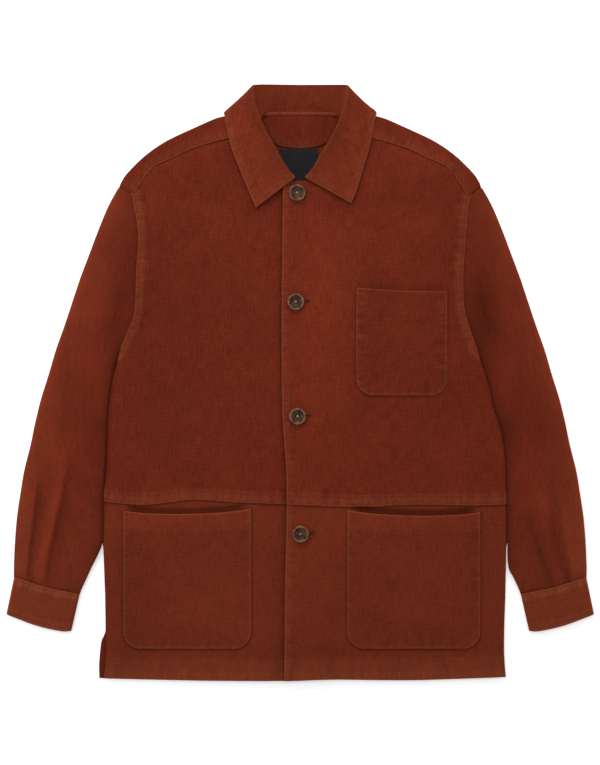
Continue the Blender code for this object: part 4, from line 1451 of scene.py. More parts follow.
@dataclass(frozen=True)
class BrushedCotton:
    """One finish of the brushed cotton.

    Attributes:
        name: the material's name.
        base: the dye.
        deep: its darker places.
        pale: where it is rubbed, and where light is painted on the sleeves.
        wear: how much of the rubbing, and of that painted light, shows.
        reach: how wide the worn band along a seam is, in metres.
        bump: how strongly the weave stands out.
        thread: the size of its grain, in metres.
        roughness: how matt it is.
        sheen: how much its nap glows at a slant, and in what tint.
    """

    name: str
    base: Colour
    deep: Colour
    pale: Colour
    wear: float = 0.6
    reach: float = 0.0105
    bump: float = 0.35
    thread: float = THREAD_SIZE
    roughness: float = 0.88
    sheen: float = 0.30
    sheen_tint: Colour = (0.62, 0.14, 0.055)

    def build(self, effects: Effects) -> bpy.types.Material:
        """Makes the material.

        Args:
            effects: the shared node groups.
        Returns:
            The material.
        """
        graph, shader = start_material(self.name)
        place = graph.read("cloth", "Vector")
        weave = graph.group(effects.weave, Place=place, Thread=self.thread)
        nap = graph.group(effects.nap, Place=place, Patch=PATCH_SIZE)
        wear = graph.group(effects.wear, Seam=graph.read("seam", "Vector"), Reach=self.reach,
                           Worn=graph.read("worn"), Grain=weave.outputs["Grain"])
        threads = graph.total((weave.outputs["Streaks"], 0.62), (weave.outputs["Grain"], 0.38))
        shade = graph.total((graph.ramp(threads, 0.35, 0.65), 0.64),
                            (graph.ramp(nap.outputs["Mottle"], 0.34, 0.66), 0.17),
                            (nap.outputs["Fleck"], 0.22))
        dyed = graph.mix(shade, opaque(self.deep), opaque(self.base))
        colour = graph.mix(graph.times(wear.outputs["Mask"], self.wear), dyed, opaque(self.pale))
        # The painted light and shade scale the dyed colour
        gain = graph.math("MAXIMUM", graph.math("ADD", graph.read("tone"), 1.0), 0.2)
        rough = graph.math("MULTIPLY_ADD", nap.outputs["Fleck"], 0.12, self.roughness - 0.06)
        relief = graph.total((weave.outputs["Height"], 1.0), (wear.outputs["Height"], 1.2))
        return dress(self.name, graph, shader, graph.dimmed(colour, gain), rough,
                     graph.bump(relief, self.bump, 0.0006), Sheen_Weight=self.sheen,
                     Sheen_Roughness=0.45, Sheen_Tint=opaque(self.sheen_tint), Specular_IOR_Level=0.05)


@dataclass(frozen=True)
class SewingThread:
    """The cotton thread of the stitches."""

    name: str
    base: Colour
    pale: Colour

    def build(self, effects: Effects) -> bpy.types.Material:
        """Makes the material.

        Args:
            effects: the shared node groups.
        Returns:
            The material.
        """
        graph, shader = start_material(self.name)
        place = graph.node("ShaderNodeNewGeometry").outputs["Position"]
        nap = graph.group(effects.nap, Place=place, Patch=0.004)
        share = graph.ramp(nap.outputs["Mottle"], 0.35, 0.65)
        return dress(self.name, graph, shader, graph.mix(share, opaque(self.base), opaque(self.pale)),
                     graph.math("MULTIPLY_ADD", nap.outputs["Fleck"], 0.1, 0.7), Specular_IOR_Level=0.2)


@dataclass(frozen=True)
class WovenTape:
    """The smooth black tape of the bare label, also used for the painted shadow in the buttonholes' slits.
    """

    name: str
    base: Colour
    pale: Colour

    def build(self, effects: Effects) -> bpy.types.Material:
        """Makes the material.

        Args:
            effects: the shared node groups.
        Returns:
            The material.
        """
        graph, shader = start_material(self.name)
        place = graph.read("cloth", "Vector")
        weave = graph.group(effects.weave, Place=place, Thread=0.0011)
        share = graph.ramp(weave.outputs["Streaks"], 0.35, 0.65)
        return dress(self.name, graph, shader, graph.mix(share, opaque(self.base), opaque(self.pale)),
                     graph.math("MULTIPLY_ADD", weave.outputs["Grain"], 0.2, 0.7),
                     graph.bump(weave.outputs["Height"], 0.25, 0.0003), Specular_IOR_Level=0.15)


@dataclass(frozen=True)
class Horn:
    """Polished dark horn, mottled olive and brown, paler on the rim's lip."""

    name: str
    dark: Colour
    brown: Colour
    lip: Colour

    def build(self, effects: Effects) -> bpy.types.Material:
        """Makes the material.

        Args:
            effects: the shared node groups.
        Returns:
            The material.
        """
        graph, shader = start_material(self.name)
        place = graph.read("cloth", "Vector")
        clouds = graph.group(effects.horn, Place=place, Size=0.006)
        cloud, fibre = clouds.outputs["Cloud"], clouds.outputs["Fibre"]
        share = graph.total((graph.ramp(cloud, 0.38, 0.64), 0.8), (fibre, 0.2))
        body = graph.mix(share, opaque(self.dark), opaque(self.brown))
        lip = graph.times(graph.read("worn"), graph.ramp(cloud, 0.35, 0.6, 0.35, 0.9))
        return dress(self.name, graph, shader, graph.mix(lip, body, opaque(self.lip)),
                     graph.math("MULTIPLY_ADD", fibre, 0.2, 0.34), graph.bump(fibre, 0.12, 0.0002),
                     Specular_IOR_Level=0.12, Coat_Weight=0.02, Coat_Roughness=0.2)


@dataclass(frozen=True)
class PaleTable:
    """The plain pale surface under the jacket."""

    name: str
    base: Colour

    def build(self, effects: Effects) -> bpy.types.Material:
        """Makes the material.

        Args:
            effects: the shared node groups.
        Returns:
            The material.
        """
        graph, shader = start_material(self.name)
        place = graph.node("ShaderNodeNewGeometry").outputs["Position"]
        nap = graph.group(effects.nap, Place=place, Patch=0.2)
        darker = tuple(0.97 * part for part in self.base)
        share = graph.ramp(nap.outputs["Mottle"], 0.3, 0.7)
        return dress(self.name, graph, shader, graph.mix(share, opaque(darker), opaque(self.base)), 0.9,
                     Specular_IOR_Level=0.1, Emission_Color=(1.0, 1.0, 1.0, 1.0), Emission_Strength=0.32)


# ---- The jacket's pieces ----

@dataclass
class Workshop:
    """What every piece needs: the finishes, and a way to hand a piece over to the frame."""

    cloth: bpy.types.Material
    collar: bpy.types.Material
    pocket: bpy.types.Material
    tape: bpy.types.Material
    thread: bpy.types.Material
    horn: bpy.types.Material
    button_thread: bpy.types.Material
    hole_thread: bpy.types.Material

    def hand_over(self, piece: bpy.types.Object, slot: str, node: str | None = None) -> None:
        """Lets a piece ride on the jacket's one body.

        Args:
            piece: the finished piece.
            slot: the record's material slot that it takes its finish from; here it is only logged.
            node: the solid that it stands for, if it stands for one.
        """
        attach(piece, "root")
        if node:
            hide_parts(node)
        faces = len(piece.data.polygons)
        LOG.info("%s: %d faces, slot %s", piece.name, faces, slot)

    def sew(self, node: str, piece: bpy.types.Object, bands: Sequence[Band],
            finish: bpy.types.Material | None = None) -> bpy.types.Object:
        """Sews the rows of a piece's bands onto it.

        Args:
            node: the name of the piece that is sewn.
            piece: the piece.
            bands: its bands.
            finish: the thread's finish, where it isn't the sewing thread's.
        Returns:
            The thread.
        """
        thread = Thread()
        skin = skin_of(piece)
        for band in bands:
            for line in band.row_lines():
                thread.row(line, skin)
        made = thread.build("thread_" + node, finish or self.thread)
        self.hand_over(made, "jacket_cloth")
        return made

    def declare(self, piece: bpy.types.Object, surface: Surface,
                turning: float = TURNING) -> None:
        """Works out the size that a piece of cloth is cut to, and logs it.

        Args:
            piece: the piece.
            surface: its outer face.
            turning: the cloth turned in at each of its edges, in mm.
        """
        corners = (slice(None, -1), slice(None, -1)), (slice(None, -1), slice(1, None)), \
            (slice(1, None), slice(1, None)), (slice(1, None), slice(None, -1))
        a, b, c, d = (surface.points[corner] for corner in corners)
        cells = np.linalg.norm(np.cross(c - a, d - b), axis=-1) / 2
        whole = np.all([surface.shown[corner] for corner in corners], axis=0)
        area = float(cells[whole].sum()) * CUT_ALLOWANCE * MM * MM
        cloth, shown = surface.cloth, surface.shown
        span = (cloth[shown].max(0) - cloth[shown].min(0) + 2 * turning) * MM
        width, length = (round(float(part), 3) for part in span)
        LOG.info("%s: cut %.3f x %.3f m, %.4f m2", piece.name, width, length, area)

    def make(self, name: str, shell: Shell, bands: Sequence[Band], rests_on: Sequence[str],
             slot: str = "jacket_cloth", finish: bpy.types.Material | None = None,
             thread: bpy.types.Material | None = None) -> None:
        """Args:
            name: the name of its solid.
            shell: its wall of cloth.
            bands: its sewn edges.
            rests_on: the nodes that it lies on; not used.
            slot: the record's material slot.
            finish: its finish, where it isn't the body's.
            thread: its thread's finish, where it isn't the sewing thread's.
        """
        piece = shell.build("cloth_" + name, finish or self.cloth)
        self.hand_over(piece, slot, name)
        sewn = [self.sew(name, piece, bands, thread)] if bands else []
        self.declare(piece, shell.surface)


@dataclass
class Sided:
    """A piece that the jacket has on each side."""

    side: Side
    kind: ClassVar[str]

    @property
    def name(self) -> str:
        """The name of its solid."""
        return self.kind + "_" + self.side.word

    @property
    def left(self) -> bool:
        """Whether it is on the wearer's left."""
        return self.side is Side.LEFT


def front_swells(side: Side) -> list[Swell | Crease | Mound]:
    """Returns the waves that run through one front's upper and lower part and its pockets."""
    seed = 3.0 + side.value
    return [Swell(0.55, 74.0, 120.0, seed), Swell(0.30, 30.0, 52.0, seed + 20.0)]


def collar_outline(side: Side) -> Array:
    """Works out the collar's outer edge on a front.

    Args:
        side: the front's side.
    Returns:
        The line from the shoulder to the collar's front end and its seam.
    """
    edge = [(row.left_x if side is Side.LEFT else -row.right_x,
             row.left_y if side is Side.LEFT else row.right_y) for row in COLLAR[6:]]
    last = COLLAR[-1]
    return np.vstack([smooth_line(edge), [(side.value * last.seam_x, last.seam_y)]])


def pocket_outline(size: Pocket) -> Array:
    """Works out a pocket's sewn edge.

    Args:
        size: the pocket's sizes.
    Returns:
        The line from the mouth's one end round the bottom to the other.
    """
    turn = np.linspace(0.0, math.pi / 2, 12)
    corner = np.stack([1.0 - np.cos(turn), 1.0 - np.sin(turn)], axis=-1) * size.radius
    left = corner + (size.x0, size.bottom)
    right = corner[::-1] * (-1, 1) + (size.x1, size.bottom)
    return np.vstack([[(size.x0, size.y_at_x0)], left, right, [(size.x1, size.y_at_x1)]])


def mouth_of(size: Pocket, x: Array) -> tuple[Array, Array]:
    """Works out a pocket's mouth.

    Args:
        size: the pocket's sizes.
        x: the places' x.
    Returns:
        The mouth's height at each x, and how near x is to its middle.
    """
    part = np.clip((x - size.x0) / (size.x1 - size.x0), 0.0, 1.0)
    middle = 4 * part * (1 - part)
    return size.y_at_x0 + (size.y_at_x1 - size.y_at_x0) * part - size.sag * middle ** 0.7, middle


def hollow_behind_pockets(surface: Surface, side: Side) -> None:
    """Sinks a front where a pocket's mouth stands open before it, and paints shadow in that opening and
    beside the pocket's edge.

    Args:
        surface: the front's outer face.
        side: the front's side.
    """
    x, y = surface.x.copy(), surface.y.copy()
    for size in POCKETS:
        if (size.x0 > 0) != (side is Side.LEFT):
            continue
        mouth, middle = mouth_of(size, x)
        above = y - mouth
        depth = size.gape / 2.4
        shade = smooth(middle * 2.6) * smooth((9.5 - above) / 4.0) * smooth((above + 30.0) / 12.0)
        surface.raise_by(-1.3 * depth * shade)
        # Painted shadow in the open mouth, then beside the pocket's sewn edge
        surface.tone -= 0.50 * depth ** 4 * shade
        surface.shade(pocket_outline(size), 0.26, 1.5)


class Front(Sided):
    """What the upper and the lower part of one front share."""

    fine_end: ClassVar[bool] = True
    creases: ClassVar[dict[Side, tuple[Crease | Mound, ...]]]

    def edge_x(self, y: Array | float) -> Array:
        """Returns the x of its inner edge at a height."""
        return placket_x(y) if self.left else np.full(np.shape(y), RIGHT_FRONT_EDGE)

    def inner(self, low: float, high: float) -> Array:
        """Returns its inner edge between two heights."""
        y = np.linspace(low, high, EDGE_POINTS)
        return np.stack([self.edge_x(y), y], axis=-1)

    def surface(self) -> Surface:
        """Works out its outer face.

        Returns:
            The surface.
        """
        bottom, top, outer, inner = self.lines()
        across = spread(lengths_of(bottom)[-1], STEP)
        upward = spread(lengths_of(outer)[-1], STEP, fine_end=self.fine_end)
        grid = patch(divide(bottom, across), divide(top, across),
                     divide(outer, upward), divide(inner, upward))
        x, y = grid[..., 0], grid[..., 1]
        made = Surface(np.dstack([x, y, front_top(self.side, x, y) - self.tucked(x, y)]), grid.copy())
        made.add(front_swells(self.side))
        made.add(self.creases[self.side])
        self.settle(made)
        # Painted light and shade in soft spots
        made.tint(BODY_LIGHT_AND_SHADE)
        hollow_behind_pockets(made, self.side)
        made.sew(self.bands())
        self.wear_and_shade(made)
        # Painted shade beside the edges that lie on it
        for line, depth, reach in self.edges_on_it():
            made.shade(line, depth, reach)
        return made

    def tucked(self, x: Array, y: Array) -> Array | float:
        """Returns how far it goes down under its neighbour."""
        return 0.0

    def settle(self, made: Surface) -> None:
        """Lowers it under what is sewn over it."""

    def wear_and_shade(self, made: Surface) -> None:
        """Rubs it paler, and paints shade, in its own places."""

    def build(self, shop: Workshop) -> None:
        """Makes the piece and its stitches."""
        shop.make(self.name, Shell(self.surface(), WALL, flip=self.left), self.bands(), ["back"])


@dataclass
class UpperFront(Front):
    """The upper part of one front, from the shoulder seam and neckline to the waist seam."""

    kind = "front_upper"
    fine_end = False
    creases = FRONT_CREASES
    lap: float = 2.2                # how far its edges lap over their neighbours
    armhole_points: int = 70
    seam_rise: float = 1.35
    placket_row: float = 8.7
    waist_rows: tuple[float, ...] = (2.2, 12.6)
    armhole_rows: tuple[float, ...] = (2.0, 10.4)

    def lines(self) -> tuple[Array, Array, Array, Array]:
        """Works out its outline.

        Returns:
            Its lower, upper, outer and inner edge.
        """
        sign = self.side.value
        waist = smooth_line(WAIST)
        side_end = waist[-1 if self.left else 0]
        x = np.linspace(side_end[0], float(self.edge_x(side_end[1])), EDGE_POINTS)
        bottom = np.stack([x, at_x(waist, x) - self.lap], axis=-1)
        neck = mirrored(self.side, FRONT_NECK)
        neck += [(sign * 1.0, NECK_BASE), (float(self.edge_x(NECK_BASE)), NECK_BASE)]
        top = np.vstack([shoulder_seam(self.side), smooth_line(neck)[1:]])
        arm = divide(armhole_line(self.side), np.linspace(1.0, SEAM_AT_ARMHOLE, self.armhole_points))
        out = moved(arm, -sign * self.lap)
        ease = smooth(np.linspace(0.0, 1.0, self.armhole_points) / 0.18)[:, None]
        arm = arm * (1.0 - ease) + out * ease
        below = side_line(self.side, side_end[1])[::-1]
        outer = np.vstack([bottom[:1], below[1:-1], arm])
        return bottom, np.vstack([outer[-1:], top[1:]]), outer, self.inner(bottom[-1, 1], top[-1, 1])

    def bands(self) -> list[Band]:
        """Lists its sewn edges.

        Returns:
            The waist seam, the armhole and, on the left, the inner edge.
        """
        bottom, _, _, inner = self.lines()
        arm = moved(armhole_line(self.side), self.side.value * self.lap)[:-7]
        bands = [
            Band(bottom, self.waist_rows, 13.6, self.seam_rise, 0.36, 11.0, not self.left, fade=0.20),
            Band(arm, self.armhole_rows, 11.4, 0.60, 0.42, 31.0, not self.left, fade=0.28),
        ]
        if self.left:
            bands.append(Band(inner, (self.placket_row,), 9.6, 0.35, 0.20, 51.0, left=False))
        return bands

    def settle(self, made: Surface) -> None:
        """Lowers it under the edge of the yoke."""
        away = nearest(Back().seam(self.side), made.x, made.y)[0]
        made.raise_by(-0.85 * smooth((5.0 - away) / 2.4))

    def edges_on_it(self) -> list[tuple[Array, float, float]]:
        """Lists the edges that lie on it.

        Returns:
            Each line, how much shade is painted beside it, and how far.
        """
        collar, placket = collar_outline(self.side), smooth_line(PLACKET)
        edges = [(collar, 0.30, 2.2), (collar, 0.10, 14.0), (Back().seam(self.side), 0.05, 1.3)]
        return edges if self.left else edges + [(placket, 0.45, 1.7), (placket, 0.17, 14.0)]


@dataclass
class LowerFront(Front):
    """The lower part of one front, from the waist seam to the hem."""

    kind = "front_lower"
    creases = LOWER_CREASES
    tuck: float = 6.0               # how far its top runs on under the upper part
    sink: float = 0.9               # how far it goes down there
    hem_row: float = 27.0
    placket_row: float = 8.7

    def lines(self) -> tuple[Array, Array, Array, Array]:
        """Works out its outline.

        Returns:
            Its lower, upper, outer and inner edge.
        """
        rows = []
        for line, more in ((smooth_line(HEM), 0.0), (smooth_line(WAIST), self.tuck)):
            end = line[-1 if self.left else 0]
            edge = self.edge_x(line[0, 1] if more == 0.0 else end[1])
            x = np.linspace(end[0], float(edge), EDGE_POINTS)
            rows.append(np.stack([x, at_x(line, x) + more], axis=-1))
        bottom, top = rows
        y = np.linspace(bottom[0, 1], top[0, 1], EDGE_POINTS)
        outer = np.stack([side_x(self.side, y), y], axis=-1)
        return bottom, top, outer, self.inner(bottom[-1, 1], top[-1, 1])

    def bands(self) -> list[Band]:
        """Lists its sewn edges.

        Returns:
            The hem and, on the left, the inner edge.
        """
        bottom, _, _, inner = self.lines()
        bands = [Band(bottom, (self.hem_row,), 27.5, 0.30, 0.26, 71.0, not self.left, fade=0.22)]
        if self.left:
            bands.append(Band(inner, (self.placket_row,), 9.6, 0.35, 0.20, 91.0, left=False))
        return bands

    def tucked(self, x: Array, y: Array) -> Array | float:
        """Returns how far it goes down under the waist seam."""
        under = y - (at_x(smooth_line(WAIST), x) - 3.0)
        return self.sink * smooth(under / 5.0)

    def wear_and_shade(self, made: Surface) -> None:
        """Rubs it paler towards the hem, and paints a band of shade above that."""
        made.worn += 0.20 + 0.12 * smooth((-340.0 - made.y) / 50.0)
        # Painted shade just above the hem's band
        made.tone -= 0.09 * hump(made.y, -360.0, 12.0)

    def edges_on_it(self) -> list[tuple[Array, float, float]]:
        """Lists the edges that lie on it.

        Returns:
            Each line, how much shade is painted beside it, and how far.
        """
        waist, placket = smooth_line(WAIST) - (0.0, 2.2), smooth_line(PLACKET)
        edges = [(waist, 0.45, 1.7), (waist, 0.10, 9.0)]
        return edges if self.left else edges + [(placket, 0.40, 1.7), (placket, 0.20, 12.0)]


@dataclass
class Back:
    """The back: flat on the surface, folded over the shoulders to the seams in front."""

    coarse: float = 5.0
    shoulder_columns: int = 62
    neck_columns: int = 26
    fold_rows: int = 9
    yoke_rows: int = 18
    under: float = 2.4              # how far its sides run on under the sleeves
    lap: float = 3.0                # how far the yoke laps over the fronts
    rise: float = 0.30              # how high it lies there
    rows: tuple[float, ...] = (2.0, 9.4)

    def arcs(self, side: Side) -> tuple[Array, Array, Array, Array]:
        """Works out a shoulder's fold, column by column.

        Args:
            side: which shoulder.
        Returns:
            Its centre, way out, radius and base.
        """
        fold = divide(shoulder_fold(side), np.linspace(0.0, 1.0, self.shoulder_columns))
        run = np.gradient(fold, axis=0)
        run /= np.linalg.norm(run, axis=1, keepdims=True)
        out = np.stack([run[:, 1], -run[:, 0]], axis=-1) * side.value
        x, y = fold[:, 0], fold[:, 1] - 4.0
        radius = (shell_top(x, y) - lift(x, y)) / 2
        centre = fold - out * radius[:, None]
        return centre, out, radius, lift(centre[:, 0], centre[:, 1])

    def side(self, side: Side) -> Array:
        """Works out the side, which runs on a little under the sleeve.

        Args:
            side: which side.
        Returns:
            The line.
        """
        line = side_line(side, SIDE[-1].y, peek=True)
        under = self.under * smooth((line[:, 1] + 222.0) / 12.0) * smooth((34.0 - line[:, 1]) / 10.0)
        return line + np.stack([side.value * under, np.zeros(len(line))], axis=-1)

    def seam(self, side: Side) -> Array:
        """Returns the edge of the yoke, which laps over the shoulder seam."""
        line = divide(shoulder_seam(side), np.linspace(0.0, 1.0, self.shoulder_columns))
        return moved(line, side.value * self.lap)

    def grid(self) -> tuple[Array, int]:
        """Works out the points of its outer face.

        Returns:
            The rows of points from the hem on, NaN over the open neck; and how many of the rows
            lie behind.
        """
        sides = {side: self.side(side) for side in Side}
        hem = smooth_line(HEM)
        arcs = {side: self.arcs(side) for side in Side}
        half = smooth_line(BACK_NECK)
        neck = np.vstack([half * (-1, 1), half[::-1][1:]])
        neck = divide(neck, np.linspace(0.0, 1.0, self.neck_columns + 1))[1:-1]
        right, left = arcs[Side.RIGHT][0], arcs[Side.LEFT][0]
        top = np.vstack([right, neck, left[::-1]])
        x = np.linspace(sides[Side.RIGHT][-1, 0], sides[Side.LEFT][-1, 0], len(top))
        bottom = np.stack([x, at_x(hem, x)], axis=-1)
        count = int((top[0, 1] - bottom[0, 1]) / self.coarse)
        edges = []
        for side, low, high in ((Side.RIGHT, bottom[0], right[0]), (Side.LEFT, bottom[-1], left[0])):
            edge = np.vstack([sides[side][::-1], armhole_line(side)[::-1][1:]])
            edge = divide(edge, np.linspace(0.0, 1.0, count))
            edge[0], edge[-1] = low, high
            edges.append(edge)
        grid = patch(bottom, top, *edges)
        flat = np.dstack([grid, lift(grid[..., 0], grid[..., 1])])
        rows, open_neck = [], np.full((len(neck), 3), np.nan)
        for turn in np.linspace(0.0, math.pi, self.fold_rows + 1)[1:]:
            halves = []
            for side in Side:
                centre, out, radius, base = arcs[side]
                spot = centre + out * radius[:, None] * math.sin(turn)
                halves.append(np.column_stack([spot, base + radius * (1.0 - math.cos(turn))]))
            rows.append(np.vstack([halves[0], open_neck, halves[1][::-1]]))
        for share in np.linspace(0.0, 1.0, self.yoke_rows + 1)[1:]:
            halves = []
            for side in Side:
                centre = arcs[side][0]
                spot = centre + (self.seam(side) - centre) * share
                x, y = spot[:, 0], spot[:, 1]
                away, _, _ = nearest(self.seam(side), x, y)
                up = self.rise * smooth((14.0 - away) / 4.0)
                halves.append(np.column_stack([spot, shell_top(x, y) + up]))
            rows.append(np.vstack([halves[0], open_neck, halves[1][::-1]]))
        return np.concatenate([flat, np.array(rows)]), len(flat)

    def surface(self) -> Surface:
        """Works out its outer face, the hem's row first.

        Returns:
            The surface.
        """
        points, start = self.grid()
        shown = ~np.isnan(points[..., 0])
        points = np.nan_to_num(points)
        cloth = points[..., :2].copy()
        step = np.linalg.norm(np.diff(points, axis=0, prepend=points[:1]), axis=-1)
        cloth[start:, :, 1] = cloth[start - 1, :, 1] + np.cumsum(step[start:], axis=0)
        made = Surface(points, cloth)
        made.shown = shown
        over = np.zeros(shown.shape)
        over[start + self.fold_rows - 3:] = 1.0
        for band in self.bands():
            away, _, along = nearest(band.line, made.x, made.y)
            made.raise_by(over * band.height(away, along))
            near = (over > 0) & (away < FINE_BAND * 2)
            # Painted shade and light of the yoke's seam
            made.tone += over * band.tone(away, along)
            made.mark(near, along, away)
        # Painted light and shade in soft spots
        made.tone += over * sum(spot.height(made.x, made.y) for spot in BODY_LIGHT_AND_SHADE)
        wave = soft_noise(made.x, made.y, 60.0, 60.0, 5.0)
        made.raise_by(over * 0.4 * wave)
        # The back inside the neck is painted darker as shade, most of all beside the facing's lower edge
        inside = np.where((made.y > 220.0) & (over == 0), 1.0, 0.0)
        made.tone -= 0.10 * inside
        dark = np.exp(-nearest(smooth_line([(row.x, row.bottom) for row in FACING]),
                               made.x, made.y)[0] / 1.8)
        made.tone -= 0.35 * inside * dark
        # Painted shadow under the right front's edge, where the back shows at the vent
        front = side_line(Side.RIGHT, SIDE[-1].y)
        made.shade(front[front[:, 1] < -322.0] + (1.0, 0.0), 0.62, 3.4)
        return made

    def bands(self) -> list[Band]:
        """Lists the sewn edges of the yoke.

        Returns:
            One on each shoulder.
        """
        return [
            Band(self.seam(side), self.rows, 10.4, 0.2, 0.30, 101.0 + side.value, side is Side.RIGHT)
            for side in Side
        ]

    def build(self, shop: Workshop) -> None:
        """Makes the piece and its stitches."""
        shop.make("back", Shell(self.surface(), WALL, flip=True), self.bands(), [])


@dataclass
class Sleeve(Sided):
    """One sleeve: a flattened tube that lies beside the body, with pleats at the cuff."""

    kind = "sleeve"
    rows: int = 190
    plan_columns: int = 61
    top_columns: int = 84
    top_width: float = 165.0        # its usual width, from which the columns are spread
    under_columns: int = 26
    wall: float = 0.9
    tuck: float = 4.0               # how far its ends run on under the body and into the cuff
    heights: Line = ((-0.02, 1.9), (0.0, 3.3), (0.03, 4.6), (0.12, 7.6), (0.3, 9.0), (0.75, 8.6),
                     (0.97, 6.6), (1.0, 3.4), (1.02, 3.0))
    bases: Line = ((-0.02, 1.4), (0.01, 1.2), (0.035, 0.0), (0.97, 0.0), (1.0, 1.4), (1.02, 1.5))

    def inner_line(self) -> Array:
        """Works out the inner edge: along the body's side, then free down to the cuff.

        Returns:
            The line.
        """
        sign = self.side.value
        points = [(getattr(row, self.side.word) + sign * 0.6, row.y) for row in SIDE if row.y > -216.0]
        last = abs(points[-1][0])
        points += [(sign * (last + 0.6), -210.0)]
        points += [(sign * x, y) for x, y in SLEEVE_INNER if x > last + 1.2]
        return smooth_line(points)

    def beside(self) -> Array:
        """Returns the line where the sleeve meets the body."""
        return np.vstack([armhole_line(self.side), self.inner_line()[:70]])

    def plan(self) -> tuple[Array, Array]:
        """Works out the sleeve as seen from above.

        Returns:
            The share down the sleeve of each row, and the rows.
        """
        sign = self.side.value
        shares = np.linspace(0.0, 1.0, self.plan_columns)
        start = divide(armhole_line(self.side), shares)
        start = moved(start, sign * 0.5)
        end = divide(smooth_line(mirrored(self.side, CUFF_SEAM)), shares)
        down = np.linspace(0.0, 1.0, self.rows)
        outer = divide(smooth_line(mirrored(self.side, SLEEVE_OUTER)), down)
        inner = divide(self.inner_line(), down)
        outer[0], outer[-1], inner[0], inner[-1] = start[0], end[0], start[-1], end[-1]
        grid = outer[:, None] * (1 - shares[None, :, None]) + inner[:, None] * shares[None, :, None]
        arm_bend = start - (start[:1] * (1 - shares[:, None]) + start[-1:] * shares[:, None])
        cuff_bend = end - (end[:1] * (1 - shares[:, None]) + end[-1:] * shares[:, None])
        grid += arm_bend[None] * ((1 - down) ** 7)[:, None, None]
        grid += cuff_bend[None] * (down ** 3)[:, None, None]
        into_body = moved(start, -sign * self.tuck)
        way = grid[-1] - grid[-6]
        way /= np.linalg.norm(way, axis=1, keepdims=True)
        grid = np.concatenate([into_body[None], grid, (grid[-1] + way * self.tuck)[None]])
        return np.concatenate([[-0.02], down, [1.02]]), grid

    def tube(self) -> tuple[Surface, Array, Array, Array]:
        """Works out the smooth tube: rings from the armhole to the cuff.

        Returns:
            The surface; which of its points are on top; each ring's share of the way down; and
            each column's share of the way across.
        """
        down, plan = self.plan()
        top = spread(self.top_width, self.top_width / self.top_columns * 1.25)
        under = np.linspace(1.0, 0.0, self.under_columns + 2)[1:-1]
        place = np.concatenate([top, under])
        on_top = np.arange(len(place)) < len(top)
        soft = np.clip(np.minimum(place / 0.105, (1 - place) / 0.05), 0.0, 1.0)
        swell = np.sqrt(np.maximum(1.0 - (1.0 - soft) ** 2, 0.0))
        dome = 0.72 + 0.28 * np.sin(np.pi * place ** 0.85)
        known = np.linspace(0.0, 1.0, plan.shape[1])
        rings, flats = [], []
        along = 0.0
        for j, (share, row) in enumerate(zip(down, plan)):
            width = lengths_of(row)[-1]
            height = np.interp(share, *zip(*self.heights))
            base = np.interp(share, *zip(*self.bases))
            x, y = (np.interp(place, known, row[:, k]) for k in (0, 1))
            middle = base + height * 0.5
            full = height * (dome if share > 0.02 else 1.0)
            z_top = middle + (base + full - middle) * swell
            z_under = middle - (middle - base) * swell
            z = np.where(on_top, z_top, z_under)
            rings.append(np.column_stack([x, y, z]))
            around = np.where(on_top, place, 2.0 - place) * width
            along += 0.0 if j == 0 else float(np.linalg.norm(plan[j].mean(0) - plan[j - 1].mean(0)))
            flats.append(np.column_stack([around, np.full(len(place), -along)]))
        made = Surface(np.array(rings), np.array(flats))
        return made, np.broadcast_to(on_top, made.x.shape).astype(float), down, place

    def surface(self) -> Surface:
        """Works out its outer face.

        Returns:
            The surface.
        """
        made, upper, down, place = self.tube()
        x, y = made.x.copy(), made.y.copy()
        ease = smooth((down - 0.02) / 0.06) * smooth((1.0 - down) / 0.03)
        total = np.zeros(x.shape)
        for relief in [Swell(0.7, 46.0, 120.0, 7.0 + self.side.value)] + list(SLEEVE_CREASES[self.side]):
            total += relief.height(x, y)
        made.raise_by(total * upper * ease[:, None])
        # Painted light on the creases' ridges and painted shade in their troughs
        made.tone += np.clip(total * 0.17, -0.34, 0.30) * upper
        gather = soft_noise(made.cloth[..., 0], made.cloth[..., 1], 9.0, 60.0, 3.0)
        made.raise_by(upper * 0.5 * gather * smooth((down - 0.86) / 0.12)[:, None] * ease[:, None])
        # Painted light along the outer edge, painted shade towards the inner side
        made.tone += upper * (0.34 * np.exp(-place / 0.055) - 0.08 * smooth((place - 0.4) / 0.6))
        # Painted light and shade in soft spots
        spots = sum(spot.height(x, y) for spot in SLEEVE_LIGHT_AND_SHADE[self.side])
        made.tone += upper * spots
        # Painted shade beside the body
        near_body = nearest(self.beside(), x, y)[0]
        made.tone -= upper * (0.30 * np.exp(-near_body / 2.0) + 0.20 * np.exp(-near_body / 12.0))
        # Painted shade above the cuff
        near_cuff = nearest(Cuff(self.side).ends()[0], x, y)[0]
        made.tone -= upper * (0.35 * np.exp(-near_cuff / 1.6) + 0.08 * np.exp(-near_cuff / 9.0))
        # Paler over the outer half, as painted light, and paler towards the cuff
        low = smooth((down - 0.55) / 0.45)[:, None]
        made.worn += upper * (0.16 * (1.0 - smooth(place / 0.5)) + 0.20 * low)
        for band in self.bands():
            away, _, far = nearest(band.line, x, y)
            near = (away < FINE_BAND) & (upper > 0)
            made.raise_by(upper * band.height(away, far) * smooth((12.0 - away) / 4.0))
            # Painted shade along the seam
            made.tone -= 0.10 * upper * hump(away, 0.0, 1.6)
            made.mark(near, far, away + 8.0)
        return made

    def bands(self) -> list[Band]:
        """Returns the sewn seam that shows above the cuff."""
        return [Band(smooth_line(SLEEVE_SEAMS[self.side]), (1.2,), 2.0, 0.30, 0.22,
                     121.0, left=self.side is Side.LEFT)]

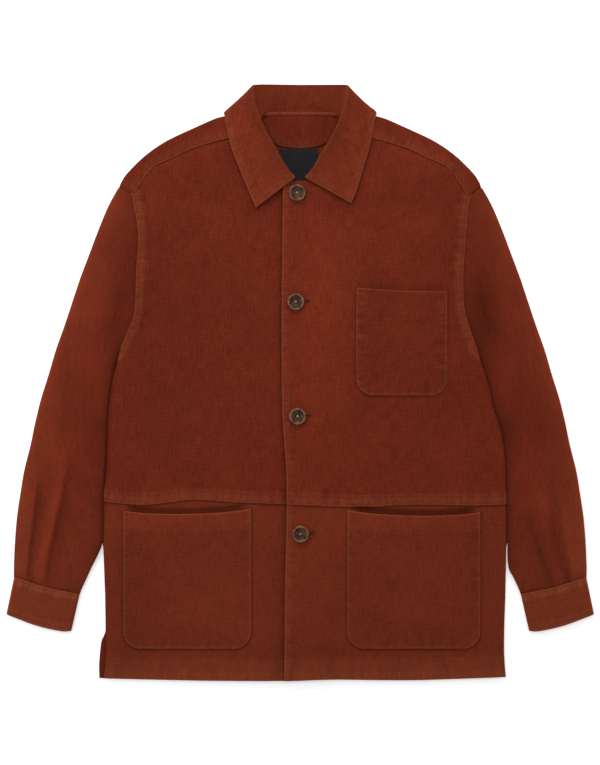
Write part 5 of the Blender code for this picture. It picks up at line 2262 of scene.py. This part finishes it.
    def build(self, shop: Workshop) -> None:
        """Makes the piece and its stitches."""
        shell = Shell(self.surface(), self.wall, closed=True, flip=not self.left)
        shop.make(self.name, shell, self.bands(), [], thread=shop.hole_thread)


@dataclass
class Cuff(Sided):
    """One cuff: a flat band of double cloth closed round the sleeve's end."""

    kind = "cuff"
    height: float = 6.4
    wall: float = 1.5
    top_rows: tuple[float, ...] = (2.0, 10.0)
    edge_row: float = 5.2
    lap: float = 2.6                # how far it laps over the sleeve
    width: float = 95.0             # its usual width and length, from which its grid is spread
    length: float = 50.0
    step: float = 2.4
    under_columns: int = 30
    plan_columns: int = 40

    def ends(self) -> tuple[Array, Array]:
        """Works out its outline.

        Returns:
            Its upper and lower edge.
        """
        seam, edge = (smooth_line(mirrored(self.side, line)) for line in (CUFF_SEAM, CUFF_EDGE))
        shares = np.linspace(0, 1, self.plan_columns)
        way = divide(seam, shares) - divide(edge, shares)
        way /= np.linalg.norm(way, axis=1, keepdims=True)
        return divide(seam, shares) + way * self.lap, edge

    def bands(self) -> list[Band]:
        """Lists its sewn edges.

        Returns:
            The seam to the sleeve and the edge at the hand.
        """
        seam, edge = self.ends()
        return [
            Band(seam, self.top_rows, 11.0, 0.45, 0.40, 131.0, self.left, fade=0.30),
            Band(edge, (self.edge_row,), 6.0, 0.2, 0.16, 141.0, not self.left),
        ]

    def surface(self) -> Surface:
        """Works out its outer face.

        Returns:
            The surface.
        """
        seam, edge = self.ends()
        middle = self.height / 2
        top = spread(self.width, self.step)
        under = np.linspace(1.0, 0.0, self.under_columns + 2)[1:-1]
        place = np.concatenate([top, under])
        on_top = np.arange(len(place)) < len(top)
        width = lengths_of(edge)[-1]
        down = spread(self.length, self.step)
        high, low = divide(seam, place), divide(edge, place)
        soft = np.clip(np.minimum(place, 1 - place) / 0.05, 0.0, 1.0)
        swell = np.sqrt(np.maximum(1.0 - (1.0 - soft) ** 2, 0.0))
        z = middle + np.where(on_top, swell, -swell) * (middle - 0.02)
        around = np.where(on_top, place, 2.0 - place) * width
        rings, flats = [], []
        for share in down:
            rings.append(np.column_stack([high + (low - high) * share, z]))
            flats.append(np.column_stack([-np.full(len(place), share * self.length), around]))
        made = Surface(np.array(rings), np.array(flats))
        upper = np.broadcast_to(on_top, made.x.shape).astype(float)
        x, y = made.x.copy(), made.y.copy()
        inside = upper * smooth(np.minimum(place, 1 - place) / 0.04)[None, :]
        for band in self.bands():
            away, _, along = nearest(band.line, x, y)
            made.raise_by(inside * band.height(away, along))
            # Painted shade and light of the cuff's seams
            made.tone += inside * band.tone(away, along)
            made.worn += inside * band.fade * band.inside(away)
            closer = (away < made.seam[..., 1]) & (upper > 0)
            made.mark(closer, along, away)
        made.raise_by(inside * 0.35 * soft_noise(x, y, 26.0, 18.0, 9.0 + self.side.value))
        made.worn += 0.45 * upper
        return made

    def build(self, shop: Workshop) -> None:
        """Makes the piece and its stitches."""
        shell = Shell(self.surface(), self.wall, closed=True, flip=not self.left)
        shop.make(self.name, shell, self.bands(), [])


@dataclass
class Collar:
    """The collar with its stand: folded under behind the neck and over in front."""

    steps: int = 9                  # sections between two stations
    stand_points: int = 16
    roll_points: int = 9
    fall_points: int = 34
    wall: float = 1.5
    edge_row: float = 9.4
    end_sections: int = 60          # sections that the rows along its two ends are looked for in

    def section(self, seam: Array, roll: Array, edge: Array) -> Array:
        """Works out one section: up the stand, round the roll and down the fall.

        Args:
            seam: where it starts.
            roll: the top of its roll.
            edge: where it ends.
        Returns:
            Its points.
        """
        into = unit(unit(seam - roll) + unit(edge - roll))
        across = edge - seam
        across = unit(across - into * float(across @ into))
        centre = roll + into * ROLL_RADIUS
        turn = np.linspace(0.0, math.pi, self.roll_points)[:, None]
        arc = centre - across * np.cos(turn) * ROLL_RADIUS - into * np.sin(turn) * ROLL_RADIUS
        up = np.linspace(0.0, 1.0, self.stand_points, endpoint=False)[:, None]
        stand = seam + (arc[0] - seam) * up
        reach = float(np.linalg.norm(edge - arc[-1]))
        down = (1.0 - spread(reach, reach / self.fall_points, True, False)[::-1][:-1])
        down = np.interp(np.linspace(0, 1, self.fall_points), np.linspace(0, 1, len(down)), down)
        down = np.concatenate([np.maximum(down[1:], 0.01), [1.0]])[:, None]
        return np.vstack([stand, arc, arc[-1] + (edge - arc[-1]) * down])

    def middle(self) -> Array:
        """Works out the grid of the cloth's middle.

        Returns:
            The points, one row per section.
        """
        stations = [(-1, row) for row in reversed(COLLAR)] + [(1, row) for row in COLLAR[1:]]
        controls = []
        for sign, row in stations:
            edge = (row.left_x, row.left_y) if sign > 0 else (row.right_x, row.right_y)
            controls.append([
                (sign * row.seam_x, row.seam_y, row.seam_z),
                (sign * row.roll_x, row.roll_y + 1.5 * smooth((row.roll_y - 380.0) / 15.0), row.roll_z),
                (sign * edge[0], edge[1], row.edge_z),
            ])
        table = np.array(controls)
        lines = [smooth_line(table[:, k], self.steps) for k in range(3)]
        return np.array([self.section(*places) for places in zip(*lines)])

    def surface(self) -> tuple[Surface, Array, Array]:
        """Works out its visible face.

        Returns:
            The surface, and how far each point is from the edge and from the ends.
        """
        points = self.middle()
        down = np.linalg.norm(np.diff(points, axis=1), axis=-1)
        from_seam = np.concatenate([np.zeros((len(points), 1)), np.cumsum(down, axis=1)], axis=1)
        from_edge = from_seam[:, -1:] - from_seam
        side = np.linalg.norm(np.diff(points, axis=0), axis=-1)
        from_start = np.concatenate([np.zeros((1, points.shape[1])), np.cumsum(side, axis=0)])
        from_end = np.minimum(from_start, from_start[-1:] - from_start)
        cloth = np.dstack([np.broadcast_to(from_start.mean(1)[:, None], from_edge.shape), -from_seam])
        made = Surface(points, cloth)
        away = np.minimum(from_edge, from_end)
        along = np.where(from_edge < from_end, from_start, from_edge)
        band = Band(points[0, :, :2], (self.edge_row,), 10.2, 0.35, 0.26, 151.0)
        normals = grid_normals(points)
        push = band.height(away, along) * smooth(away / 4.0)
        push += 0.45 * soft_noise(cloth[..., 0], cloth[..., 1], 42.0, 30.0, 15.0)
        crown = hump(from_seam, from_seam[:, -1:] * 0.38, 16.0)
        made.points = points + normals * (push + 0.3 * crown)[..., None]
        made.points[..., 2] = np.maximum(made.points[..., 2], self.wall / 2 + 0.05)
        made.seam = np.dstack([along, away])
        roll = hump(from_seam, from_seam[:, self.stand_points + 4][:, None], 2.4)
        made.worn = 0.35 * roll * smooth((made.points[..., 2] - 5.0) / 4.0)
        inner = np.arange(points.shape[1]) < self.stand_points
        roll_at = from_seam[:, self.stand_points + self.roll_points // 2][:, None]
        from_roll = abs(from_seam - roll_at)
        down_stand = 1.0 - from_seam / roll_at
        # Painted shade: the stand darker down towards its seam, the fall darker beside the roll and a
        # little lighter elsewhere
        made.tone += np.where(inner[None, :], -0.10 - 0.16 * down_stand,
                              0.05 - 0.30 * np.exp(-from_roll / 11.0))
        return made, from_edge, from_end

    def build(self, shop: Workshop) -> None:
        """Makes the piece and its stitches.

        Args:
            shop: the finishes.
        """
        surface, from_edge, from_end = self.surface()
        piece = Shell(surface, self.wall, centred=True).build("cloth_collar", shop.collar)
        shop.hand_over(piece, "collar_cloth", "collar")
        normals = grid_normals(surface.points)
        face = surface.points + normals * self.wall / 2
        thread = Thread()
        inside = np.argwhere(np.median(from_end, axis=1) > self.edge_row).ravel()
        rows = [[(from_edge[j], face[j], normals[j]) for j in inside]]
        columns = [i for i in range(self.stand_points + self.roll_points - 2, face.shape[1])
                   if np.median(from_edge[:, i]) > self.edge_row]
        for start in (slice(0, self.end_sections), slice(-1, -self.end_sections, -1)):
            rows.append([(from_end[start, i], face[start, i], normals[start, i]) for i in columns])
        for row in rows:
            line, ways = (np.array([at_value(part[0], self.edge_row, part[k]) for part in row])
                          for k in (1, 2))
            thread_along(thread, line, ways)
        sewn = thread.build("thread_collar", shop.thread)
        shop.hand_over(sewn, "collar_cloth")
        shop.declare(piece, surface)


def unit(vector: Array) -> Array:
    """Returns a vector of length 1."""
    return vector / max(float(np.linalg.norm(vector)), 1e-9)


def grid_normals(points: Array) -> Array:
    """Returns the unit normals of a grid of points."""
    normals = np.cross(np.gradient(points, axis=0), np.gradient(points, axis=1))
    return normals / np.maximum(np.linalg.norm(normals, axis=-1, keepdims=True), 1e-9)


def at_value(places: Array, value: float, spots: Array) -> Array:
    """Returns the spot where a measure along a line of spots has a value."""
    order = np.argsort(places)
    return np.array([np.interp(value, places[order], column[order]) for column in spots.T])


def thread_along(thread: Thread, line: Array, ways: Array) -> None:
    """Sews one row along a line in space.

    Args:
        thread: the thread to add it to.
        line: the points of the row.
        ways: the way out of the cloth at each of them.
    """
    line[:, 2] = np.maximum(line[:, 2], thread.radius + 0.05)
    known = lengths_of(line)
    for start in np.arange(thread.space, known[-1] - thread.stitch, thread.stitch + thread.space):
        first, last = at_lengths(line, np.array([start, start + thread.stitch]))
        normal = [np.interp(start, known, column) for column in ways.T]
        thread.lay(Vector(first), Vector(last), Vector(normal).normalized())


@dataclass
class NeckInside:
    """What shows inside the neck: the half-moon facing, the band over its seam, the label."""

    facing_wall: float = 1.2
    label_wall: float = 0.6
    band_wall: float = 0.9
    band_half: float = 54.0         # half the band's length
    band_seam: float = 358.6        # how high up the neck the band starts
    band_width: float = 5.2         # its width from above, and on the cloth
    band_cloth: float = 7.0
    row: float = 2.0

    def fall(self, side: Side) -> Array:
        """Returns the line where the collar's roll stands above the inside of the neck."""
        return smooth_line([(side.value * row.roll_x, row.roll_y) for row in COLLAR[6:]])

    def facing(self, shop: Workshop) -> None:
        """Makes the half-moon facing.

        Args:
            shop: the finishes.
        """
        table = np.array(FACING)
        top = smooth_line(table[:, :2])
        bottom = smooth_line(table[:, [0, 2]])
        across, upward = np.linspace(0, 1, 70), np.linspace(0, 1, 34)[:, None, None]
        low, high = divide(bottom, across)[None], divide(top, across)[None]
        grid = low * (1 - upward) + high * upward
        x, y = grid[..., 0], grid[..., 1]
        base = CLOTH + 0.3 + self.facing_wall
        made = Surface(np.dstack([x, y, lift(x, y) + base]), grid.copy())
        made.add([Swell(0.3, 30.0, 22.0, 41.0)])
        band = Band(bottom, (self.row,), 3.0, 0.1, 0.12, 161.0)
        made.sew([band])
        # Painted shade under the collar, and painted shadow beside its roll
        made.tone -= 0.20
        for side in Side:
            made.shade(self.fall(side), 0.42, 4.0)
        shop.make("neck_facing", Shell(made, self.facing_wall), [band], ["back"])

    def seam_band(self, shop: Workshop) -> None:
        """Makes the narrow band that the stand laps over the neck seam.

        Args:
            shop: the finishes.
        """
        x = np.linspace(-self.band_half, self.band_half, EDGE_POINTS)
        line = np.stack([x, self.band_seam - 1.4 * (abs(x) / self.band_half) ** 3], axis=-1)
        upward = np.linspace(0.0, 1.0, 8)[:, None]
        y = line[:, 1] + self.band_width * upward
        strip = np.dstack(np.meshgrid(lengths_of(line), upward[:, 0] * self.band_cloth))
        ends = 1.6 * smooth((abs(x) - 40.0) / 14.0)
        height = 5.9 + 0.5 * np.sin(np.pi * upward) - 1.5 * upward ** 2 - ends
        made = Surface(np.dstack([np.broadcast_to(x, y.shape), y, height]), strip)
        band = Band(line, (1.5,), 3.0, 0.1, 0.14, 171.0, lip=3.0)
        made.sew([band])
        piece = Shell(made, self.band_wall).build("cloth_neck_band", shop.collar)
        shop.hand_over(piece, "collar_cloth")
        shop.declare(piece, made, turning=2.0)
        shop.sew("neck_band", piece, [band])

    def label(self, shop: Workshop) -> None:
        """Makes the bare label.

        Args:
            shop: the finishes.
        """
        x, y = np.meshgrid(np.linspace(*LABEL_X, 36), np.linspace(*LABEL_Y, 36))
        made = Surface(np.dstack([x, y, lift(x, y) + CLOTH + 0.3 + self.label_wall]), np.dstack([x, y]))
        made.add([Swell(0.12, 22.0, 26.0, 47.0)])
        made.tone[:] = 0.0
        # Painted shadow beside the collar's roll
        for side in Side:
            made.shade(self.fall(side), 0.5, 2.0)
        shop.make("label", Shell(made, self.label_wall), [], ["back"], "label_cloth", shop.tape)

    def build(self, shop: Workshop) -> None:
        """Makes the three pieces.

        Args:
            shop: the finishes.
        """
        self.facing(shop)
        self.seam_band(shop)
        self.label(shop)


@dataclass
class PatchPocket:
    """One patch pocket on its front, with its mouth standing open."""

    size: Pocket
    puff: float = 1.3
    rest: float = 0.35              # its edge's height above the front
    row: float = 2.0
    hem_depth: float = 38.0
    hem_shows: bool = True

    @property
    def side(self) -> Side:
        """The side that it is on."""
        return Side.LEFT if self.size.x0 > 0 else Side.RIGHT

    @property
    def front(self) -> str:
        """The node of the front that it is sewn to."""
        part = "front_upper_" if self.size.name == "pocket_chest" else "front_lower_"
        return part + self.side.word

    def surface(self) -> Surface:
        """Works out its outer face, the bottom row first.

        Returns:
            The surface.
        """
        size = self.size
        tall = min(size.y_at_x0, size.y_at_x1) - size.sag - size.bottom
        turns = np.linspace(0.0, math.pi / 2, 15)
        ups = list(size.radius * (1.0 - np.cos(turns)))
        inwards = list(size.radius * (1.0 - np.sin(turns)))
        rest = spread(tall - size.radius, STEP, False, True)[1:]
        ups += list(size.radius + (tall - size.radius) * rest)
        inwards += [0.0] * len(rest)
        up, inward = np.array(ups)[:, None], np.array(inwards)[:, None]
        across = spread(size.x1 - size.x0, STEP)[None, :]
        x = size.x0 + inward + (size.x1 - size.x0 - 2 * inward) * across
        mouth, middle = mouth_of(size, x)
        y = size.bottom + up + (mouth - size.bottom - tall) * (up / tall) ** 3
        opening = smooth((up / tall - 0.62) / 0.38)
        height = front_top(self.side, x, y) + self.rest + WALL
        made = Surface(np.dstack([x, y, height]), np.dstack([x, y]) + 400.0)
        made.add(front_swells(self.side))
        away, _, _ = nearest(pocket_outline(self.size), x, y)
        made.raise_by(self.puff * smooth(away / 34.0) + size.gape * opening * middle)
        made.add(POCKET_CREASES[size.name])
        made.raise_by(0.35 * hump(mouth - y, self.hem_depth - 4.0, 5.0) * smooth(away / 12.0))
        made.sew(self.bands())
        lip = 1.0 - smooth((mouth - y) / 2.2)
        made.worn = 0.9 * lip
        # Painted light and shade in soft spots
        made.tint(BODY_LIGHT_AND_SHADE)
        if self.hem_shows:
            made.tone -= 0.02
        else:
            made.worn += 0.14
            below = mouth - y
            # Painted light over the hem of the mouth; the rest a little darker
            made.tone += 0.09 * smooth((self.hem_depth - below) / 5.0) - 0.03
        return made

    def bands(self) -> list[Band]:
        """Lists its sewn edge, and the hem of its mouth.

        Returns:
            The bands.
        """
        size = self.size
        pucker, reach = (0.55, 13.0) if self.hem_shows else (0.30, 7.0)
        bands = [Band(pocket_outline(size), (self.row,), 3.0, 0.15, pucker, 181.0, spread=reach)]
        if self.hem_shows:
            x = np.linspace(size.x0 + 3.0, size.x1 - 3.0, 40)
            hem = np.stack([x, mouth_of(size, x)[0] - self.hem_depth], axis=-1)
            bands.append(Band(hem, (0.0,), 0.6, -0.12, 0.30, 191.0, lip=3.0))
        return bands

    def build(self, shop: Workshop) -> None:
        """Makes the piece and its stitches."""
        shell = Shell(self.surface(), WALL)
        shop.make(self.size.name, shell, self.bands(), [self.front], "pocket_cloth", shop.pocket)


@dataclass
class Button:
    """One four-hole button of horn, turned with a dish and a raised rim, sewn on crosswise."""

    number: int
    sides: int = 64
    hole_radius: float = 1.05
    hole_spacing: float = 2.1
    profile: Line = ((0.0, 0.50), (0.30, 0.51), (0.52, 0.55), (0.64, 0.62), (0.71, 0.76), (0.76, 0.93),
                     (0.81, 1.0), (0.88, 1.0), (0.94, 0.93), (0.985, 0.78), (1.0, 0.60), (0.985, 0.42),
                     (0.94, 0.27), (0.86, 0.12), (0.72, 0.02), (0.4, 0.0), (0.0, 0.0))

    @property
    def name(self) -> str:
        """The button's name."""
        return "button_%d" % self.number

    def place(self) -> tuple[Vector, float, float]:
        """Finds its solid.

        Returns:
            Its place, radius and thickness, in mm.
        """
        low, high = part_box(self.name)
        centre = (low + high) / 2 / MM
        return Vector((centre.x, centre.y, low.z / MM)), (high.x - low.x) / 2 / MM, (high.z - low.z) / MM

    def turned(self, radius: float, thick: float) -> bpy.types.Mesh:
        """Turns the button and drills its four holes.

        Args:
            radius: its radius, in mm.
            thick: its thickness, in mm.
        Returns:
            Its mesh, round the origin.
        """
        mesh = bpy.data.meshes.new(self.name)
        line = [(r * radius * MM, 0.0, z * thick * MM) for r, z in self.profile]
        mesh.from_pydata(line, [(k, k + 1) for k in range(len(line) - 1)], [])
        body = bpy.data.objects.new(self.name + "_turned", mesh)
        bpy.context.scene.collection.objects.link(body)
        turn = body.modifiers.new("Turned", "SCREW")
        turn.steps, turn.render_steps = self.sides, self.sides
        turn.use_merge_vertices, turn.merge_threshold = True, 0.00001
        turn.use_normal_calculate = True
        pins = []
        for k in range(4):
            angle = math.pi * (k + 0.5) / 2 + 0.3 * self.number
            way = Vector((math.cos(angle), math.sin(angle), 0.0)) * self.hole_spacing * MM
            bpy.ops.mesh.primitive_cylinder_add(vertices=20, radius=self.hole_radius * MM,
                                                depth=0.02, location=way)
            pin = bpy.context.object
            cut = body.modifiers.new("Hole", "BOOLEAN")
            cut.object = pin
            pins.append(pin)
        bpy.context.view_layer.update()
        graph = bpy.context.evaluated_depsgraph_get()
        cut_mesh = bpy.data.meshes.new_from_object(body.evaluated_get(graph), depsgraph=graph)
        for thing in pins + [body]:
            bpy.data.objects.remove(thing, do_unlink=True)
        return cut_mesh

    def build(self, shop: Workshop) -> None:
        """Makes the button and its thread.

        Args:
            shop: the finishes.
        """
        spot, radius, thick = self.place()
        cut_mesh = self.turned(radius, thick)
        cut_mesh.transform(Matrix.Translation(spot * MM))
        made = bpy.data.objects.new("horn_" + self.name, cut_mesh)
        bpy.context.scene.collection.objects.link(made)
        cut_mesh.materials.clear()
        cut_mesh.materials.append(shop.horn)
        cut_mesh.shade_smooth()
        cut_mesh.set_sharp_from_angle(angle=math.radians(50))
        points = np.array([vertex.co for vertex in cut_mesh.vertices])
        flat = points - (spot.x * MM, spot.y * MM, 0.0) + (0.05 * self.number, 0.0, 0.0)
        away = np.hypot(points[:, 0] / MM - spot.x, points[:, 1] / MM - spot.y) / radius
        for key, values in (("cloth", flat), ("worn", hump(away, 0.87, 0.1))):
            kind, word = ("FLOAT", "value") if values.ndim == 1 else ("FLOAT_VECTOR", "vector")
            layer = cut_mesh.attributes.new(key, kind, "POINT")
            layer.data.foreach_set(word, values.astype(np.float32).ravel())
        shop.hand_over(made, "button_horn", self.name)
        self.sew_on(shop, spot, thick)

    def sew_on(self, shop: Workshop, spot: Vector, thick: float) -> None:
        """Makes the crossed thread in the holes.

        Args:
            shop: the finishes.
            spot: the button's place.
            thick: its thickness.
        """
        thread = Thread()
        up = Vector((0.0, 0.0, 1.0))
        floor = spot.z + 0.53 * thick
        for k in range(2):
            angle = math.pi * (k + 0.5) / 2 + 0.3 * self.number
            way = Vector((math.cos(angle), math.sin(angle), 0.0))
            across = way.cross(up)
            for strand in (-0.5, 0.5):
                middle = Vector((spot.x, spot.y, floor + 0.25 * k)) + across * strand * 0.7
                reach = way * (self.hole_spacing + 0.5)
                thread.lay(middle - reach, middle + reach, up, 0.38)
        made = thread.build("thread_" + self.name, shop.button_thread)
        shop.hand_over(made, "button_horn")


@dataclass
class Buttonhole:
    """One worked buttonhole: a slit with close stitches round it, and a black strand in the slit as its
    painted shadow.
    """

    number: int
    x: float
    y: float
    start: float = -4.0
    end: float = 17.5
    half: float = 1.9
    pitch: float = 0.62             # between its stitches
    strand: float = 0.34            # half its thread's thickness

    def build(self, shop: Workshop, skin: BVHTree) -> None:
        """Sews the buttonhole on the left front.

        Args:
            shop: the finishes.
            skin: the left front's faces.
        """
        thread, slit, end = Thread(), Thread(), self.x + self.end
        for x in np.arange(self.x + self.start, self.x + self.end, self.pitch):
            for sign in (-1.0, 1.0):
                start, stop = (x, self.y + sign * 0.25), (x, self.y + sign * self.half)
                thread.across(skin, start, stop, self.strand)
        for y in np.arange(self.y - self.half, self.y + self.half + 0.1, self.pitch):
            thread.across(skin, (end - 0.2, y), (end + 2.2, y), self.strand)
        made = thread.build("thread_buttonhole_%d" % self.number, shop.hole_thread)
        shop.hand_over(made, "jacket_cloth")
        # A black strand along the slit: the painted shadow in the opening
        slit.across(skin, (self.x + self.start, self.y), (end, self.y), 0.62)
        dark = slit.build("slit_buttonhole_%d" % self.number, shop.tape)
        shop.hand_over(dark, "label_cloth")


@dataclass
class Studio:
    """The pale surface, the soft lights and the camera straight above."""

    lens: float = 100.0
    sensor: float = 36.0
    subject_height: float = 5.0
    table_half: float = 4.0         # half the table's side, in metres
    table_depth: float = 0.4        # how far it lies under the jacket, in mm
    centre_pixel: tuple[float, float] = (300.2, 383.0)

    def surface(self, effects: Effects) -> None:
        """Makes the surface that the jacket lies on.

        Args:
            effects: the shared node groups.
        """
        mesh = bpy.data.meshes.new("table")
        half = self.table_half
        mesh.from_pydata([(-half, -half, 0), (half, -half, 0), (half, half, 0), (-half, half, 0)],
                         [], [(0, 1, 2, 3)])
        mesh.materials.append(PaleTable("pale_table", TABLE).build(effects))
        made = bpy.data.objects.new("table", mesh)
        made.location.z = -self.table_depth * MM
        bpy.context.scene.collection.objects.link(made)

    def light(self, name: str, place: Colour, size: tuple[float, float], power: float,
              aim: Colour = (0.0, 0.0, 0.0)) -> None:
        """Adds one soft light.

        Args:
            name: its name.
            place: where it stands, in metres.
            size: its width and height.
            power: its power in watts.
            aim: what it points at.
        """
        data = bpy.data.lights.new(name, "AREA")
        data.shape = "RECTANGLE"
        data.size, data.size_y = size
        data.energy = power
        made = bpy.data.objects.new(name, data)
        made.location = place
        made.rotation_euler = (Vector(aim) - Vector(place)).to_track_quat("-Z", "Y").to_euler()
        bpy.context.scene.collection.objects.link(made)

    def camera(self) -> None:
        """Makes the camera straight above the middle of the photograph."""
        data = bpy.data.cameras.new("camera")
        data.lens, data.sensor_width = self.lens, self.sensor
        tall = PHOTO_HEIGHT * MM_PER_PIXEL * MM
        away = tall * self.lens / self.sensor
        made = bpy.data.objects.new("camera", data)
        x = (PHOTO_WIDTH / 2 - self.centre_pixel[0]) * MM_PER_PIXEL * MM
        y = (self.centre_pixel[1] - PHOTO_HEIGHT / 2) * MM_PER_PIXEL * MM
        made.location = (x, y, away + self.subject_height * MM)
        bpy.context.scene.collection.objects.link(made)
        bpy.context.scene.camera = made

    def build(self, effects: Effects) -> None:
        """Sets the studio up.

        Args:
            effects: the shared node groups.
        """
        self.surface(effects)
        self.camera()
        for lamp in LAMPS:
            self.light(*lamp)
        world = bpy.data.worlds.new("studio_air")
        world.use_nodes = True
        world.node_tree.nodes["Background"].inputs["Color"].default_value = (1.0, 1.0, 1.0, 1.0)
        world.node_tree.nodes["Background"].inputs["Strength"].default_value = AIR
        bpy.context.scene.world = world
        bpy.context.scene.view_settings.view_transform = "Standard"


# ---- The whole jacket ----

def finishes(effects: Effects) -> Workshop:
    """Makes the finishes.

    Args:
        effects: the shared node groups.
    Returns:
        The workshop that holds them.
    """
    return Workshop(
        cloth=BrushedCotton("brushed_cotton", *RUST).build(effects),
        collar=BrushedCotton("brushed_cotton_collar", *RUST_COLLAR, wear=0.6,
                             thread=0.0013).build(effects),
        pocket=BrushedCotton("brushed_cotton_pocket", *RUST_POCKET, wear=0.55, reach=0.004).build(effects),
        tape=WovenTape("woven_tape", (0.004, 0.004, 0.005), (0.011, 0.011, 0.013)).build(effects),
        thread=SewingThread("sewing_thread", (0.150, 0.026, 0.009), (0.215, 0.046, 0.017)).build(effects),
        horn=Horn("dark_horn", (0.014, 0.0055, 0.0025), (0.085, 0.035, 0.014),
                  (0.200, 0.105, 0.055)).build(effects),
        button_thread=SewingThread("button_thread", (0.20, 0.12, 0.07), (0.34, 0.23, 0.15)).build(effects),
        hole_thread=SewingThread("hole_thread", (0.075, 0.012, 0.005), (0.13, 0.026, 0.011)).build(effects),
    )


def main() -> None:
    """Builds the jacket and its studio, and reports each piece."""
    logging.basicConfig(level=logging.INFO, format="%(message)s")
    effects = Effects()
    shop = finishes(effects)
    Back().build(shop)
    for side in Side:
        LowerFront(side).build(shop)
        UpperFront(side).build(shop)
        Sleeve(side).build(shop)
        Cuff(side).build(shop)
    NeckInside().build(shop)
    Collar().build(shop)
    for size in POCKETS:
        chest = size.name == "pocket_chest"
        PatchPocket(size, hem_depth=39.0 if chest else 27.0, hem_shows=chest).build(shop)
    for number in range(1, 5):
        button = Button(number)
        button.build(shop)
        spot = button.place()[0]
        part = "cloth_front_lower_left" if number == 4 else "cloth_front_upper_left"
        skin = skin_of(bpy.data.objects[part])
        Buttonhole(number, spot.x, spot.y + 1.0).build(shop, skin)
    Studio().build(effects)


if __name__ == "__main__":
    main()
